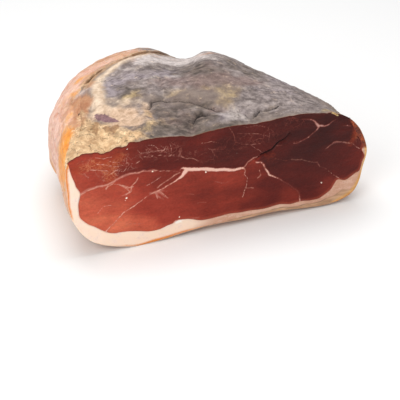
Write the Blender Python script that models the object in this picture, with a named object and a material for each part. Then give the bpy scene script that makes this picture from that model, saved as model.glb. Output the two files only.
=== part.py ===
"""Half of a boneless, pressed, dry-cured ham, cut straight across, lying on its flat underside.

Two pieces meet along a curved wall that shows as a pale band round the cut:
    lean_meat     the dark muscle, bare on the cut and over the open top
    fat_and_rind  the coat under it, up both sides and round the back, ending on top in a raised rim

Lengths below are in millimetres and become metres in loft(). X runs right along the cut, the cut
face looks to -Y, Z is up, and the origin is the middle of the flat base.
"""
import bpy
import numpy as np
from mathutils import Vector
from mathutils.bvhtree import BVHTree

METRES = 0.001          # one millimetre
GAP = 0.3               # kept between the two pieces

# Driving sizes of the half ham
DEPTH = 205.0           # from the cut to the tip of the back
FRONT = 95.0            # from the origin forward to the cut
HALF_WIDTH = 136.0
HIGH, LOW = 50.0, 55.0  # how far the round sections behind the cut reach up and down
MID_HEIGHT = 45.0       # level that the sections shrink towards
ROUND_TOP, ROUND_FOOT = 2.2, 2.7    # 2 is an ellipse, more is boxier

# The cut's outline, x and height. Its flat stretch is a little under the floor, so that the floor
# trims a true flat.
CUT_OUTLINE = [
    (-20, -2), (-60, -2), (-92, 3), (-115, 12), (-128, 27), (-135, 46), (-136, 64), (-136, 80),
    (-133, 89), (-121, 95), (-105, 94), (-88, 96), (-65, 98), (-40, 95.5), (-28, 93.5), (-10, 95),
    (25, 95), (55, 95.5), (80, 94.5), (100, 91), (115, 85.5), (126, 74), (133, 60), (136, 47),
    (133, 33), (130, 18), (122, 7), (104, 1), (70, -2), (25, -2),
]
# How the sections shrink towards the back: powers of the cosine of the depth angle
SHRINK_LEFT, SHRINK_RIGHT, SHRINK_LOW, SHRINK_HIGH = 0.73, 0.90, 0.50, 0.50
RIGHT_TAPER = 0.15      # share of the right side's width lost at the tip
SWELL_HEIGHT = 25.0     # how much the top rises behind the cut
TUCK = 9.0              # how far the left foot draws in behind the cut
ROUNDED_FROM = 0.62     # share of the depth from which the sections are fully round
SIDE_BLEND = 110.0      # the left and the right rules mix between minus this and this x
TOP_LEVEL = 95.0        # height from which a point follows the top's rules alone
RISE_FULL = 0.66        # share of the depth where the top has risen fully
RISE_POWER = 0.44       # how the rise fades to the tip
RIGHT_DROP, DROP_FULL = 0.5, 120.0  # share of the rise lost at the right, and the x where it is lost
FOOT_LOW, FOOT_HIGH = 10.0, 80.0    # heights between which the foot's tuck fades out
TUCK_FULL, TUCK_ENDS = 0.2, 0.6     # shares of the depth where the tuck is full and is gone

# The hollow across the back of the top, which drifts to the right with depth
HOLLOW_DEPTH, HOLLOW_X, HOLLOW_HALF_WIDTH, HOLLOW_DRIFT = 14.0, 2.0, 18.0, 0.4
HOLLOW_STARTS, HOLLOW_FULL, HOLLOW_MIDDLE = 60.0, 125.0, 110.0
LEFT_BANK, RIGHT_BANK = 7.5, 4.75   # softness of the hollow's two banks

# Swells and dips of the top: x, distance behind the cut, reach in x, reach in depth, height
SWELLS = [
    (-58, 16, 30, 16, 2.2), (14, 30, 34, 13, 1.6), (-84, 84, 9, 30, 2.2), (-86, 48, 13, 9, -2.0),
    (112, 12, 12, 12, -2.5), (-20, 84, 30, 14, 1.4), (48, 74, 30, 16, -1.2), (-112, 30, 12, 18, 1.5),
    (50, 132, 20, 24, 2.5),
]
# Creases of the top: a path seen from above, how wide they reach and how deep they go
CREASES = [
    ([(-7, 25), (-16, 19), (-26, 7), (-29, 0)], 6.0, 2.2),
    ([(-54, 53), (-37, 53), (-23, 50), (-12, 46), (-3, 33), (4, 29)], 6.0, 1.6),
    ([(-104, 0), (-101, 12), (-96, 26)], 6.0, 1.5),
]
# Narrow cracks in the lean's top, as paths seen from above
TOP_CRACKS = [
    [(-54, 53), (-45, 54), (-37, 53), (-23, 50), (-12, 46), (-5, 40), (-3, 33), (4, 29)],
    [(32, 19), (43, 20), (51, 17)],
]
# The crack between two muscles on the cut, x and height
CUT_CRACK = [(31, 62), (37, 64), (45, 67), (52, 73), (60, 79)]
CRACK_WIDTH, CRACK_DEPTH = 1.6, 2.0
CRACK_STEP = 6.0        # length of one stretch of a crack
CRACK_END = 0.25        # share of its width that a crack keeps at its ends
WIDEST, CUTTER_TOP = 0.4, 2.0       # how far a crack's cutter is widest, and ends, above the surface

# Folds of the sides: height, and the lengths of the waves
FOLD_HEIGHT = 0.8
DEPTH_WAVE, CROSS_WAVE, LEVEL_WAVE, DRIFT_WAVE, CROSS_BEND = 9.0, 23.0, 7.0, 31.0, 1.7
FOLD_FROM_FLOOR, FOLD_FROM_CUT = 12.0, 25.0

# The lean's outline on the cut, closed over the top under the skin
LEAN_OUTLINE = [
    (-21, 14), (-40, 17), (-58, 12), (-84, 16), (-103, 17), (-120, 28), (-127, 42), (-125, 61),
    (-129, 71), (-132, 80), (-130, 87), (-115, 89), (-60, 89), (0, 87), (60, 87), (105, 85),
    (117, 81), (126, 66), (131, 54), (134, 44), (131, 32), (121, 25), (110, 25), (102, 16),
    (88, 11), (60, 11), (25, 12),
]
LEAN_DEPTH, LEAN_HALF_WIDTH, LEAN_HIGH, LEAN_LOW = 196.0, 127.0, 42.0, 34.0
WALL_AHEAD = 10.0       # how far the hidden wall starts in front of the cut

# Where the rim of the coat ends on top, seen from above: x and distance behind the cut
RIM = [
    (-134, -14), (-132, 4), (-119, 22), (-107, 48), (-98, 75), (-87, 98), (-76, 117), (-61, 130),
    (-43, 138), (-21, 149), (0, 159), (17, 166), (33, 163), (46, 153), (57, 141), (72, 126),
    (86, 109), (97, 88), (106, 64), (112, 40), (116, 20), (118, 4), (118, -14),
]
RIM_DRAFT = 0.06        # share by which the opening narrows from the rim down to its floor
RIM_HEIGHT, OPENING_FLOOR, OPENING_TOP = 95.0, 66.0, 150.0
RIM_STEP = 2.5          # how far the lean's top lies below the rim at the back
STEP_STARTS, STEP_FULL = 40.0, 100.0    # depths between which that step grows

# Numbers of points round a section and from front to back
ROUND, RINGS = 92, 30
CURVE_STEPS = 24
LEAN_ROUND, LEAN_RINGS = 64, 18
RIM_POINTS = 72
DROP_FROM = 300.0       # height that points are dropped from on to a surface
DOWN = Vector((0, 0, -1))
FLOOR_BOX = 50.0        # how far the box that trims the underside reaches down
SHARP_DEGREES = 40.0    # edges that turn more than this stay sharp


def smoothstep(low, high, x):
    t = np.clip((x - low) / (high - low), 0.0, 1.0)
    return t * t * (3.0 - 2.0 * t)


def closed_curve(points, count):
    """A smooth closed curve through the points (Catmull-Rom), as count evenly spaced points."""
    p = np.array(points, float)
    k = np.arange(len(p) * CURVE_STEPS) / CURVE_STEPS
    i = k.astype(int)
    f = (k - i)[:, None]
    a, b, c, d = (p[(i + step) % len(p)] for step in (-1, 0, 1, 2))
    curve = 0.5 * (2 * b + (c - a) * f + (2 * a - 5 * b + 4 * c - d) * f**2
                   + (3 * b - a - 3 * c + d) * f**3)
    curve = np.vstack([curve, curve[:1]])
    run = np.concatenate([[0.0], np.cumsum(np.linalg.norm(np.diff(curve, axis=0), axis=1))])
    even = np.linspace(0.0, run[-1], count, endpoint=False)
    return np.stack([np.interp(even, run, curve[:, n]) for n in (0, 1)], -1)


def ham_sections(outline, around, along, depth, half_width, high, low):
    """Rings of points from the cut to the back, and how far up each point belongs to the top.

    The outline turns into a rounded section, and the sections shrink to the tip as the depth angle
    goes to a right angle. The top swells behind the cut and has the hollow near the back.
    """
    x0, z0 = closed_curve(outline, around).T
    angle = np.linspace(0.0, np.pi / 2, along, endpoint=False)[:, None]
    shrink, back = np.cos(angle), np.sin(angle)
    half_height = np.where(z0 > MID_HEIGHT, high, low)
    power = 2.0 / np.where(z0 > MID_HEIGHT, ROUND_TOP, ROUND_FOOT)
    turn = np.arctan2((z0 - MID_HEIGHT) / half_height, x0 / half_width)
    x_round = half_width * np.sign(np.cos(turn)) * np.abs(np.cos(turn)) ** power
    z_round = MID_HEIGHT + half_height * np.sign(np.sin(turn)) * np.abs(np.sin(turn)) ** power
    rounding = smoothstep(0.0, ROUNDED_FROM, back)
    x = x0 + (x_round - x0) * rounding
    z = z0 + (z_round - z0) * rounding

    right = smoothstep(-SIDE_BLEND, SIDE_BLEND, x)
    upper = smoothstep(0.0, TOP_LEVEL, z)
    narrow_left = shrink**SHRINK_LEFT
    narrow_right = shrink**SHRINK_RIGHT * (1.0 - RIGHT_TAPER * back)
    flatten = shrink**SHRINK_LOW * (1.0 - upper) + shrink**SHRINK_HIGH * upper
    px = x * (narrow_left * (1.0 - right) + narrow_right * right)
    foot = 1.0 - smoothstep(FOOT_LOW, FOOT_HIGH, z)
    near_cut = smoothstep(0.0, TUCK_FULL, back) * (1.0 - smoothstep(TUCK_FULL, TUCK_ENDS, back))
    px = px + TUCK * near_cut * foot * (1.0 - right)
    py = depth * back + 0.0 * x
    lower_right = 1.0 - RIGHT_DROP * smoothstep(0.0, DROP_FULL, x)
    rise = SWELL_HEIGHT * smoothstep(0.0, RISE_FULL, back) * lower_right
    pz = MID_HEIGHT + (z - MID_HEIGHT) * flatten + rise * upper * shrink**RISE_POWER

    off = px - HOLLOW_X - HOLLOW_DRIFT * (py - HOLLOW_MIDDLE)
    left_bank = 1.0 / (1.0 + np.exp(-(off + HOLLOW_HALF_WIDTH) / LEFT_BANK))
    right_bank = 1.0 / (1.0 + np.exp((off - HOLLOW_HALF_WIDTH) / RIGHT_BANK))
    deepens = smoothstep(HOLLOW_STARTS, HOLLOW_FULL, py)
    pz = pz - HOLLOW_DEPTH * left_bank * right_bank * deepens * upper
    return np.stack([px, py, pz], -1), upper


def path_distance(px, py, path):
    """Distance in plan from each point to a path of straight stretches."""
    best = np.full(np.broadcast(px, py).shape, 1e9)
    for (ax, ay), (bx, by) in zip(path[:-1], path[1:]):
        run_x, run_y = bx - ax, by - ay
        along = np.clip(((px - ax) * run_x + (py - ay) * run_y) / (run_x**2 + run_y**2), 0.0, 1.0)
        best = np.minimum(best, np.hypot(px - ax - along * run_x, py - ay - along * run_y))
    return best


def outward(rings):
    """Unit normals of a grid of rings, pointing out."""
    round_way = np.roll(rings, -1, 1) - np.roll(rings, 1, 1)
    back_way = np.gradient(rings, axis=0)
    normal = np.cross(round_way, back_way)
    normal /= np.linalg.norm(normal, axis=-1, keepdims=True) + 1e-9
    middle = np.array([0.0, 0.5 * DEPTH, MID_HEIGHT])
    facing = np.sign(np.sum(normal * (rings - middle), -1, keepdims=True))
    return normal * facing


def ham_skin():
    """The whole outside, with the swells, creases and folds of the dried surface."""
    rings, upper = ham_sections(CUT_OUTLINE, ROUND, RINGS, DEPTH, HALF_WIDTH, HIGH, LOW)
    px, py, pz = rings[..., 0], rings[..., 1], rings[..., 2]
    relief = np.zeros(px.shape)
    for x, y, reach_x, reach_y, height in SWELLS:
        relief += height * np.exp(-((px - x) / reach_x) ** 2 - ((py - y) / reach_y) ** 2)
    for path, reach, depth in CREASES:
        relief -= depth * np.exp(-(path_distance(px, py, path) / reach) ** 2)
    folds = np.sin(py / DEPTH_WAVE + CROSS_BEND * np.sin(px / CROSS_WAVE))
    folds = folds + np.sin(pz / LEVEL_WAVE + py / DRIFT_WAVE)
    lower_side = smoothstep(0.0, FOLD_FROM_FLOOR, pz) * (1.0 - upper)
    behind_cut = smoothstep(0.0, FOLD_FROM_CUT, py)
    relief = relief * upper + FOLD_HEIGHT * folds * lower_side * behind_cut
    # The relief leaves the front ring flat on the cut.
    off_cut = outward(rings)
    off_cut[0, :, 1] = 0.0
    return rings + off_cut * relief[..., None], upper


def lean_top(rings, upper):
    """The skin, sunk a little below the rim towards the back, so that the rim stands up."""
    sunk = RIM_STEP * smoothstep(STEP_STARTS, STEP_FULL, rings[..., 1]) * upper
    return rings - outward(rings) * sunk[..., None]


def lean_core(grow):
    """The lean's hidden wall under the coat, starting in front of the cut."""
    rings, _ = ham_sections(LEAN_OUTLINE, LEAN_ROUND, LEAN_RINGS, LEAN_DEPTH, LEAN_HALF_WIDTH,
                            LEAN_HIGH, LEAN_LOW)
    rings = rings + outward(rings) * grow
    front = rings[:1].copy()
    front[..., 1] = -WALL_AHEAD
    rings[0, :, 1] = 0.0
    return np.concatenate([front, rings]), (0.0, LEAN_DEPTH + grow, MID_HEIGHT)


def rim_opening(grow):
    """A tub that opens the top inside the rim and narrows a little downwards."""
    path = closed_curve(RIM, RIM_POINTS)
    ahead, behind = np.roll(path, -1, 0), np.roll(path, 1, 0)
    run = ahead - behind
    side = np.stack([-run[:, 1], run[:, 0]], -1) / np.linalg.norm(run, axis=1, keepdims=True)
    path = path + side * grow
    rings = []
    for height in (OPENING_FLOOR - grow, RIM_HEIGHT, OPENING_TOP):
        scale = 1.0 + RIM_DRAFT * (height - RIM_HEIGHT) / (RIM_HEIGHT - OPENING_FLOOR)
        level = np.full((len(path), 1), height)
        rings.append(np.hstack([path * scale, level]))
    return np.array(rings)


def loft(name, rings, collection, tip=None):
    """A closed mesh through rings of points, the ends capped with a flat face or a tip.

    Every side face is split along the same diagonal, so that two walls a gap apart never cross.
    """
    count, around = rings.shape[:2]
    points = (rings.reshape(-1, 3) - [0.0, FRONT, 0.0]) * METRES
    verts = [tuple(p) for p in points]
    faces = []
    for i in range(count - 1):
        for j in range(around):
            k = (j + 1) % around
            near, near_next = i * around + j, i * around + k
            far, far_next = near + around, near_next + around
            faces += [(near, near_next, far_next), (near, far_next, far)]
    faces.append(tuple(range(around))[::-1])
    last = (count - 1) * around
    if tip is None:
        faces.append(tuple(range(last, last + around)))
    else:
        verts.append(tuple((np.array(tip) - [0.0, FRONT, 0.0]) * METRES))
        faces += [(last + j, last + (j + 1) % around, len(verts) - 1) for j in range(around)]
    mesh = bpy.data.meshes.new(name)
    mesh.from_pydata(verts, [], faces)
    mesh.update()
    obj = bpy.data.objects.new(name, mesh)
    collection.objects.link(obj)
    face_outwards(mesh)
    return obj


def face_outwards(mesh):
    """Turn the faces out where the mesh's volume comes out negative."""
    volume = 0.0
    mesh.calc_loop_triangles()
    for triangle in mesh.loop_triangles:
        a, b, c = (mesh.vertices[i].co for i in triangle.vertices)
        volume += a.dot(b.cross(c))
    if volume < 0.0:
        mesh.flip_normals()


def groove(name, points, outs, collection):
    """A cutter with a diamond section that follows the points and thins out at both ends.

    It is widest just above the surface, so that no corner of it lies in the surface.
    """
    points, outs = np.array(points, float), np.array(outs, float)
    run = np.gradient(points, axis=0)
    side = np.cross(run, outs)
    side /= np.linalg.norm(side, axis=1, keepdims=True)
    share = np.linspace(0.0, 1.0, len(points))[:, None]
    full = CRACK_END + (1.0 - CRACK_END) * np.sqrt(np.sin(np.pi * share))
    wide, deep = 0.5 * CRACK_WIDTH * full, CRACK_DEPTH * full
    above = outs * WIDEST
    rings = np.stack([points + side * wide + above, points + outs * CUTTER_TOP,
                      points - side * wide + above, points - outs * deep], 1)
    return loft(name, rings, collection)


def along_path(path):
    """The path's points with more between them, about CRACK_STEP apart."""
    path = np.array(path, float)
    run = np.concatenate([[0.0], np.cumsum(np.linalg.norm(np.diff(path, axis=0), axis=1))])
    even = np.linspace(0.0, run[-1], max(3, int(run[-1] / CRACK_STEP) + 1))
    return np.stack([np.interp(even, run, path[:, n]) for n in (0, 1)], -1)


def on_surface(tree, path):
    """Points of a plan path dropped on a surface from above, with the surface's normals."""
    points, outs = [], []
    for x, y in path:
        hit, normal, _, _ = tree.ray_cast(Vector((x, y - FRONT, DROP_FROM)) * METRES, DOWN)
        points.append(np.array(hit) / METRES + [0.0, FRONT, 0.0])
        outs.append(np.array(normal) * np.sign(normal.z))
    return points, outs


def box(name, low, high, collection):
    bpy.ops.mesh.primitive_cube_add(size=1.0)
    obj = bpy.context.object
    obj.name = name
    low, high = np.array(low) - [0, FRONT, 0], np.array(high) - [0, FRONT, 0]
    for vertex in obj.data.vertices:
        vertex.co = Vector(np.where(np.array(vertex.co) > 0.0, high, low) * METRES)
    for other in obj.users_collection:
        other.objects.unlink(obj)
    collection.objects.link(obj)
    return obj


def boolean(obj, operation, other):
    modifier = obj.modifiers.new(other.name, "BOOLEAN")
    modifier.operation = operation
    modifier.solver = "EXACT"
    modifier.object = other


def material(name, colour, roughness, subsurface):
    mat = bpy.data.materials.new(name)
    mat.use_nodes = True
    shader = mat.node_tree.nodes["Principled BSDF"]
    shader.inputs["Base Color"].default_value = (*colour, 1.0)
    shader.inputs["Roughness"].default_value = roughness
    shader.inputs["Metallic"].default_value = 0.0
    shader.inputs["Subsurface Weight"].default_value = subsurface
    return mat


def finish(obj, mat):
    obj.data.materials.append(mat)
    obj.data.shade_smooth()
    obj.data.set_sharp_from_angle(angle=np.radians(SHARP_DEGREES))


def hide_cutters(collection):
    for obj in collection.objects:
        obj.hide_render = True
        obj.display_type = "WIRE"


def wall(name, grow, collection):
    """What the coat is hollowed by, and what the lean is kept inside of."""
    rings, tip = lean_core(grow)
    core = loft(name, rings, collection, tip)
    boolean(core, "UNION", loft(name + "_opening", rim_opening(grow), collection))
    return core


def build():
    for obj in list(bpy.data.objects):
        bpy.data.objects.remove(obj, do_unlink=True)
    parts = bpy.data.collections.new("half_cured_ham")
    cutters = bpy.data.collections.new("cutters")
    for collection in (parts, cutters):
        bpy.context.scene.collection.children.link(collection)

    skin, upper = ham_skin()
    sunk = lean_top(skin, upper)
    tip = (0.0, DEPTH, MID_HEIGHT)

    lean = loft("lean_meat", sunk, parts, tip)
    boolean(lean, "INTERSECT", wall("lean_wall", 0.0, cutters))
    tree = BVHTree.FromObject(lean, bpy.context.evaluated_depsgraph_get())
    for number, path in enumerate(TOP_CRACKS):
        points, outs = on_surface(tree, along_path(path))
        boolean(lean, "DIFFERENCE", groove(f"top_crack_{number}", points, outs, cutters))
    seam = along_path(CUT_CRACK)
    points = np.stack([seam[:, 0], np.zeros(len(seam)), seam[:, 1]], -1)
    outs = np.tile([0.0, -1.0, 0.0], (len(seam), 1))
    boolean(lean, "DIFFERENCE", groove("cut_crack", points, outs, cutters))

    coat = loft("fat_and_rind", skin, parts, tip)
    boolean(coat, "DIFFERENCE", wall("coat_wall", GAP, cutters))
    reach = 2.0 * HALF_WIDTH
    boolean(coat, "DIFFERENCE", box("floor", (-reach, -reach, -FLOOR_BOX), (reach, reach, 0.0), cutters))

    finish(lean, material("lean_meat", (0.30, 0.07, 0.055), 0.45, 0.1))
    finish(coat, material("fat_and_rind", (0.80, 0.55, 0.40), 0.5, 0.1))
    hide_cutters(cutters)


build()
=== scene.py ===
# %% [markdown]
# # Half of a boneless dry-cured ham
#
# A ham was boned, pressed flat, salted and dried for months, then cut straight across. This file
# dresses one half of it: the dark red lean with its seams of fat on the cut, the grey bloom of
# mould over the dried top, and the coat of pale fat and waxy rind round the sides and the back.
#
# Every shape here is a function of two parameters, worked out with numpy on whole arrays.
# The frame holds the plain solids, in metres, and each new piece stands for one of them.

import bpy
import numpy as np
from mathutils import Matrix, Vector


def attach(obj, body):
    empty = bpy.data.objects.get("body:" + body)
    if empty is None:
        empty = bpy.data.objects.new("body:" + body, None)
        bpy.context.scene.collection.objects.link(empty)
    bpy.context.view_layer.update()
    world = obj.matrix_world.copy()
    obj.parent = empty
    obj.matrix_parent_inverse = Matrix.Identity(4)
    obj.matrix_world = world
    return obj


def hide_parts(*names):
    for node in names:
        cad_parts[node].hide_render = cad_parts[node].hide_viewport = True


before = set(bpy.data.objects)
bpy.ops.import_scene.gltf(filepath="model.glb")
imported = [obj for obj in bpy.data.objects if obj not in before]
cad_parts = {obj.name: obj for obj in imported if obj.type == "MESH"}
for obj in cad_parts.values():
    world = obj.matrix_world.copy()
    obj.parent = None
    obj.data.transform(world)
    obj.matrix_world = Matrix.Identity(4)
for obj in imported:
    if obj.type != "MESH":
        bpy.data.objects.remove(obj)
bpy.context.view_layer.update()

# %% [markdown]
# ## The ham's form
#
# A pressed ham has no straight lines, but its form is simple to say: the outline of the cut, which
# turns rounder and shrinks towards the back. The same formula made the plain solids, so the looks
# fit them. Lengths in this file are millimetres until a mesh is made.

# %% Driving sizes
METRES = 0.001          # one millimetre
DEPTH = 205.0           # from the cut to the tip of the back
FRONT = 95.0            # from the origin forward to the cut
HALF_WIDTH = 136.0
HIGH, LOW = 50.0, 55.0  # how far the round sections behind the cut reach up and down
MID_HEIGHT = 45.0       # level that the sections shrink towards
ROUND_TOP, ROUND_FOOT = 2.2, 2.7    # 2 is an ellipse, more is boxier

# The cut's outline, x and height, from the middle of the base to the left and over the top
CUT_OUTLINE = [
    (-20, -2), (-60, -2), (-92, 3), (-115, 12), (-128, 27), (-135, 46), (-136, 64), (-136, 80),
    (-133, 89), (-121, 95), (-105, 94), (-88, 96), (-65, 98), (-40, 95.5), (-28, 93.5), (-10, 95),
    (25, 95), (55, 95.5), (80, 94.5), (100, 91), (115, 85.5), (126, 74), (133, 60), (136, 47),
    (133, 33), (130, 18), (122, 7), (104, 1), (70, -2), (25, -2),
]
# How the sections shrink towards the back: powers of the cosine of the depth angle
SHRINK_LEFT, SHRINK_RIGHT, SHRINK_LOW, SHRINK_HIGH = 0.73, 0.90, 0.50, 0.50
RIGHT_TAPER = 0.15      # share of the right side's width lost at the tip
SWELL_HEIGHT = 25.0     # how much the top rises behind the cut
TUCK = 9.0              # how far the left foot draws in behind the cut
ROUNDED_FROM = 0.62     # share of the depth from which the sections are fully round
SIDE_BLEND = 110.0      # the left and the right rules mix between minus this and this x
TOP_LEVEL = 95.0        # height from which a point follows the top's rules alone
RISE_FULL = 0.66        # share of the depth where the top has risen fully
RISE_POWER = 0.44       # how the rise fades to the tip
RIGHT_DROP, DROP_FULL = 0.5, 120.0  # share of the rise lost at the right, and the x where it is lost
FOOT_LOW, FOOT_HIGH = 10.0, 80.0    # heights between which the foot's tuck fades out
TUCK_FULL, TUCK_ENDS = 0.2, 0.6     # shares of the depth where the tuck is full and is gone

# The hollow across the back of the top, which drifts to the right with depth
HOLLOW_DEPTH, HOLLOW_X, HOLLOW_HALF_WIDTH, HOLLOW_DRIFT = 14.0, 2.0, 18.0, 0.4
HOLLOW_STARTS, HOLLOW_FULL, HOLLOW_MIDDLE = 60.0, 125.0, 110.0
LEFT_BANK, RIGHT_BANK = 7.5, 4.75   # softness of the hollow's two banks
print("half ham", 2 * HALF_WIDTH, "mm wide and", DEPTH, "mm deep")


# %% Curves and soft steps
def smoothstep(low, high, x):
    """0 below low, 1 above high, and an S-shaped rise between; a low above its high makes it fall."""
    t = np.clip((x - low) / (high - low), 0.0, 1.0)
    return t * t * (3.0 - 2.0 * t)


SPAN_STEPS = 24         # points worked out between two given ones


def through(points, count, closed):
    """Evenly spaced points on the smooth curve (Catmull-Rom) through the given ones.

    Between two points the curve is the cubic that leaves each of them parallel to the line
    through its two neighbours.
    """
    p = np.array(points, float)
    if not closed:
        p = np.vstack([2 * p[0] - p[1], p, 2 * p[-1] - p[-2]])
    spans = len(p) if closed else len(p) - 3
    k = np.linspace(0.0, spans, spans * SPAN_STEPS, endpoint=False)
    i = k.astype(int)
    f = (k - i)[:, None]
    a, b, c, d = (p[(i + step - closed) % len(p)] for step in range(4))
    curve = 0.5 * (2 * b + (c - a) * f + (2 * a - 5 * b + 4 * c - d) * f**2
                   + (3 * b - a - 3 * c + d) * f**3)
    curve = np.vstack([curve, curve[:1] if closed else p[-2:-1]])
    run = np.concatenate([[0.0], np.cumsum(np.linalg.norm(np.diff(curve, axis=0), axis=1))])
    even = np.linspace(0.0, run[-1], count, endpoint=not closed)
    return np.stack([np.interp(even, run, curve[:, n]) for n in range(p.shape[1])], -1)


ROUND_TABLE = 4000
outline = through(CUT_OUTLINE, ROUND_TABLE, closed=True)
outline_share = np.arange(ROUND_TABLE) / ROUND_TABLE
print("the cut's outline measures", np.ptp(outline, axis=0).round(1), "mm")


# %% The skin as a function of place and depth angle
def skin_point(place, angle):
    """Points of the outside, and how far up each belongs to the top (0 to 1).

    place runs once round the cut's outline (0 to 1). The depth angle runs from 0 on the cut to a
    right angle at the tip: depth is its sine, and the sections shrink with powers of its cosine.
    On the way the outline turns into a superellipse, the top swells and the hollow sinks in.
    """
    x0 = np.interp(place, outline_share, outline[:, 0], period=1.0)
    z0 = np.interp(place, outline_share, outline[:, 1], period=1.0)
    shrink, back = np.cos(angle), np.sin(angle)
    half_height = np.where(z0 > MID_HEIGHT, HIGH, LOW)
    power = 2.0 / np.where(z0 > MID_HEIGHT, ROUND_TOP, ROUND_FOOT)
    turn = np.arctan2((z0 - MID_HEIGHT) / half_height, x0 / HALF_WIDTH)
    x_round = HALF_WIDTH * np.sign(np.cos(turn)) * np.abs(np.cos(turn)) ** power
    z_round = MID_HEIGHT + half_height * np.sign(np.sin(turn)) * np.abs(np.sin(turn)) ** power
    rounding = smoothstep(0.0, ROUNDED_FROM, back)
    x = x0 + (x_round - x0) * rounding
    z = z0 + (z_round - z0) * rounding

    right = smoothstep(-SIDE_BLEND, SIDE_BLEND, x)
    upper = smoothstep(0.0, TOP_LEVEL, z)
    narrow_left = shrink**SHRINK_LEFT
    narrow_right = shrink**SHRINK_RIGHT * (1.0 - RIGHT_TAPER * back)
    flatten = shrink**SHRINK_LOW * (1.0 - upper) + shrink**SHRINK_HIGH * upper
    px = x * (narrow_left * (1.0 - right) + narrow_right * right)
    foot = 1.0 - smoothstep(FOOT_LOW, FOOT_HIGH, z)
    near_cut = smoothstep(0.0, TUCK_FULL, back) * (1.0 - smoothstep(TUCK_FULL, TUCK_ENDS, back))
    px = px + TUCK * near_cut * foot * (1.0 - right)
    py = DEPTH * back + 0.0 * x
    lower_right = 1.0 - RIGHT_DROP * smoothstep(0.0, DROP_FULL, x)
    rise = SWELL_HEIGHT * smoothstep(0.0, RISE_FULL, back) * lower_right
    pz = MID_HEIGHT + (z - MID_HEIGHT) * flatten + rise * upper * shrink**RISE_POWER

    off = px - HOLLOW_X - HOLLOW_DRIFT * (py - HOLLOW_MIDDLE)
    left_bank = 1.0 / (1.0 + np.exp(-(off + HOLLOW_HALF_WIDTH) / LEFT_BANK))
    right_bank = 1.0 / (1.0 + np.exp((off - HOLLOW_HALF_WIDTH) / RIGHT_BANK))
    deepens = smoothstep(HOLLOW_STARTS, HOLLOW_FULL, py)
    pz = pz - HOLLOW_DEPTH * left_bank * right_bank * deepens * upper
    return np.stack([px, py, pz], -1), upper


SMALL_STEP = 2e-4       # in place and in depth angle
AT_TIP = 0.5 * np.pi


def skin(place, angle):
    """Points, unit normals pointing out, and the upper share: the normal is the cross product of
    two small steps, one round the outline and one towards the back."""
    angle = np.minimum(angle, AT_TIP - 0.5 * SMALL_STEP)
    here, upper = skin_point(place, angle)
    round_way = skin_point(place + SMALL_STEP, angle)[0] - skin_point(place - SMALL_STEP, angle)[0]
    back_way = skin_point(place, np.minimum(angle + SMALL_STEP, AT_TIP))[0] - here
    normal = np.cross(round_way, back_way)
    normal /= np.linalg.norm(normal, axis=-1, keepdims=True) + 1e-12
    facing = np.sum(normal * (here - [0.0, 0.5 * DEPTH, MID_HEIGHT]), -1, keepdims=True)
    return here, normal * np.sign(facing), upper


# %% Depth angles that are evenly spaced along the skin
DEPTH_TABLE = 600
ease = np.linspace(0.0, 1.0, DEPTH_TABLE)
angle_table = AT_TIP * (1.0 - (1.0 - ease) ** 3)
meridians, _ = skin_point(np.linspace(0, 1, 24, endpoint=False)[:, None], angle_table[None, :])
steps = np.linalg.norm(np.diff(meridians, axis=1), axis=2).mean(0)
run_table = np.concatenate([[0.0], np.cumsum(steps)])
run_table /= run_table[-1]


def angle_of(run):
    """The depth angle at a share of the mean way from the cut to the tip."""
    return np.interp(run, run_table, angle_table)


def run_of(angle):
    """The share of that way at a depth angle."""
    return np.interp(angle, angle_table, run_table)


print("from the cut to the tip over the skin:", steps.sum().round(1), "mm")

# %% [markdown]
# ## The rim
#
# The coat of fat and rind ends on top in a rim. Towards the back left it stands up as a lip with a
# dark crack beside it, where the drying lean has shrunk away. The rim's path is given as seen from
# above, so the matching place on the skin has to be found: the depth gives the angle straight
# away, and the place round the outline comes from halving an interval until x fits.

# %% The rim's path on the skin
# x and distance behind the cut, from the left end of the cut's top edge to the right end
RIM = [
    (-133.3, 0), (-130, 8), (-119, 22), (-107, 48), (-99, 76), (-90, 101), (-79, 119), (-61, 131),
    (-43, 138), (-21, 149), (0, 159), (17, 166), (33, 163), (46, 153), (57, 141), (72, 126),
    (86, 109), (97, 88), (106, 64), (112, 40), (116, 20), (118, 0),
]
RIM_STEP = 1.0          # how far the lean's top lies below the rim at the back
RIM_COUNT = 330         # stretches along the rim
TOP_ENDS = ((-136.0, 78.0), (134.0, 55.0))  # points of the cut's outline that the top lies between
HALVINGS = 30


def place_on_top(x, angle):
    """The place round the outline where the top has this x, by halving an interval again and again."""
    low, high = np.full(x.shape, place_left_end), np.full(x.shape, place_right_end)
    for _ in range(HALVINGS):
        middle = 0.5 * (low + high)
        beyond = skin_point(middle, angle)[0][..., 0] > x
        low, high = np.where(beyond, low, middle), np.where(beyond, middle, high)
    return 0.5 * (low + high)


place_left_end, place_right_end = (
    outline_share[np.argmin(np.hypot(outline[:, 0] - x, outline[:, 1] - z))] for x, z in TOP_ENDS)
rim_plan = through(RIM, RIM_COUNT + 1, closed=False)
rim_angle = np.arcsin(np.clip(rim_plan[:, 1] / DEPTH, 0.0, 1.0))
rim_place = place_on_top(rim_plan[:, 0], rim_angle)
rim_run = run_of(rim_angle)
print("the rim leaves the cut at places", rim_place[0].round(3), "and", rim_place[-1].round(3))

# %% [markdown]
# ## Relief
#
# Dried meat is never smooth. Broad swells and creases come from a short list of places; everything
# finer comes from noise: random heights at the corners of a lattice, blended smoothly between
# them. Several lattices, each half as coarse as the last, give bumps on bumps.

# %% Noise and distances as whole arrays
# Large odd numbers that scramble whole coordinates, and the bits that a scrambled number keeps
SCRAMBLE = np.array([73856093, 19349663, 83492791])
SCRAMBLE_AGAIN, SCRAMBLE_LAST = 60493, 2654435761
KEPT_BITS = 0x7FFFFFFF
SEED_SHIFT = 37.7       # lattice cells between the patterns of two seeds


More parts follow.
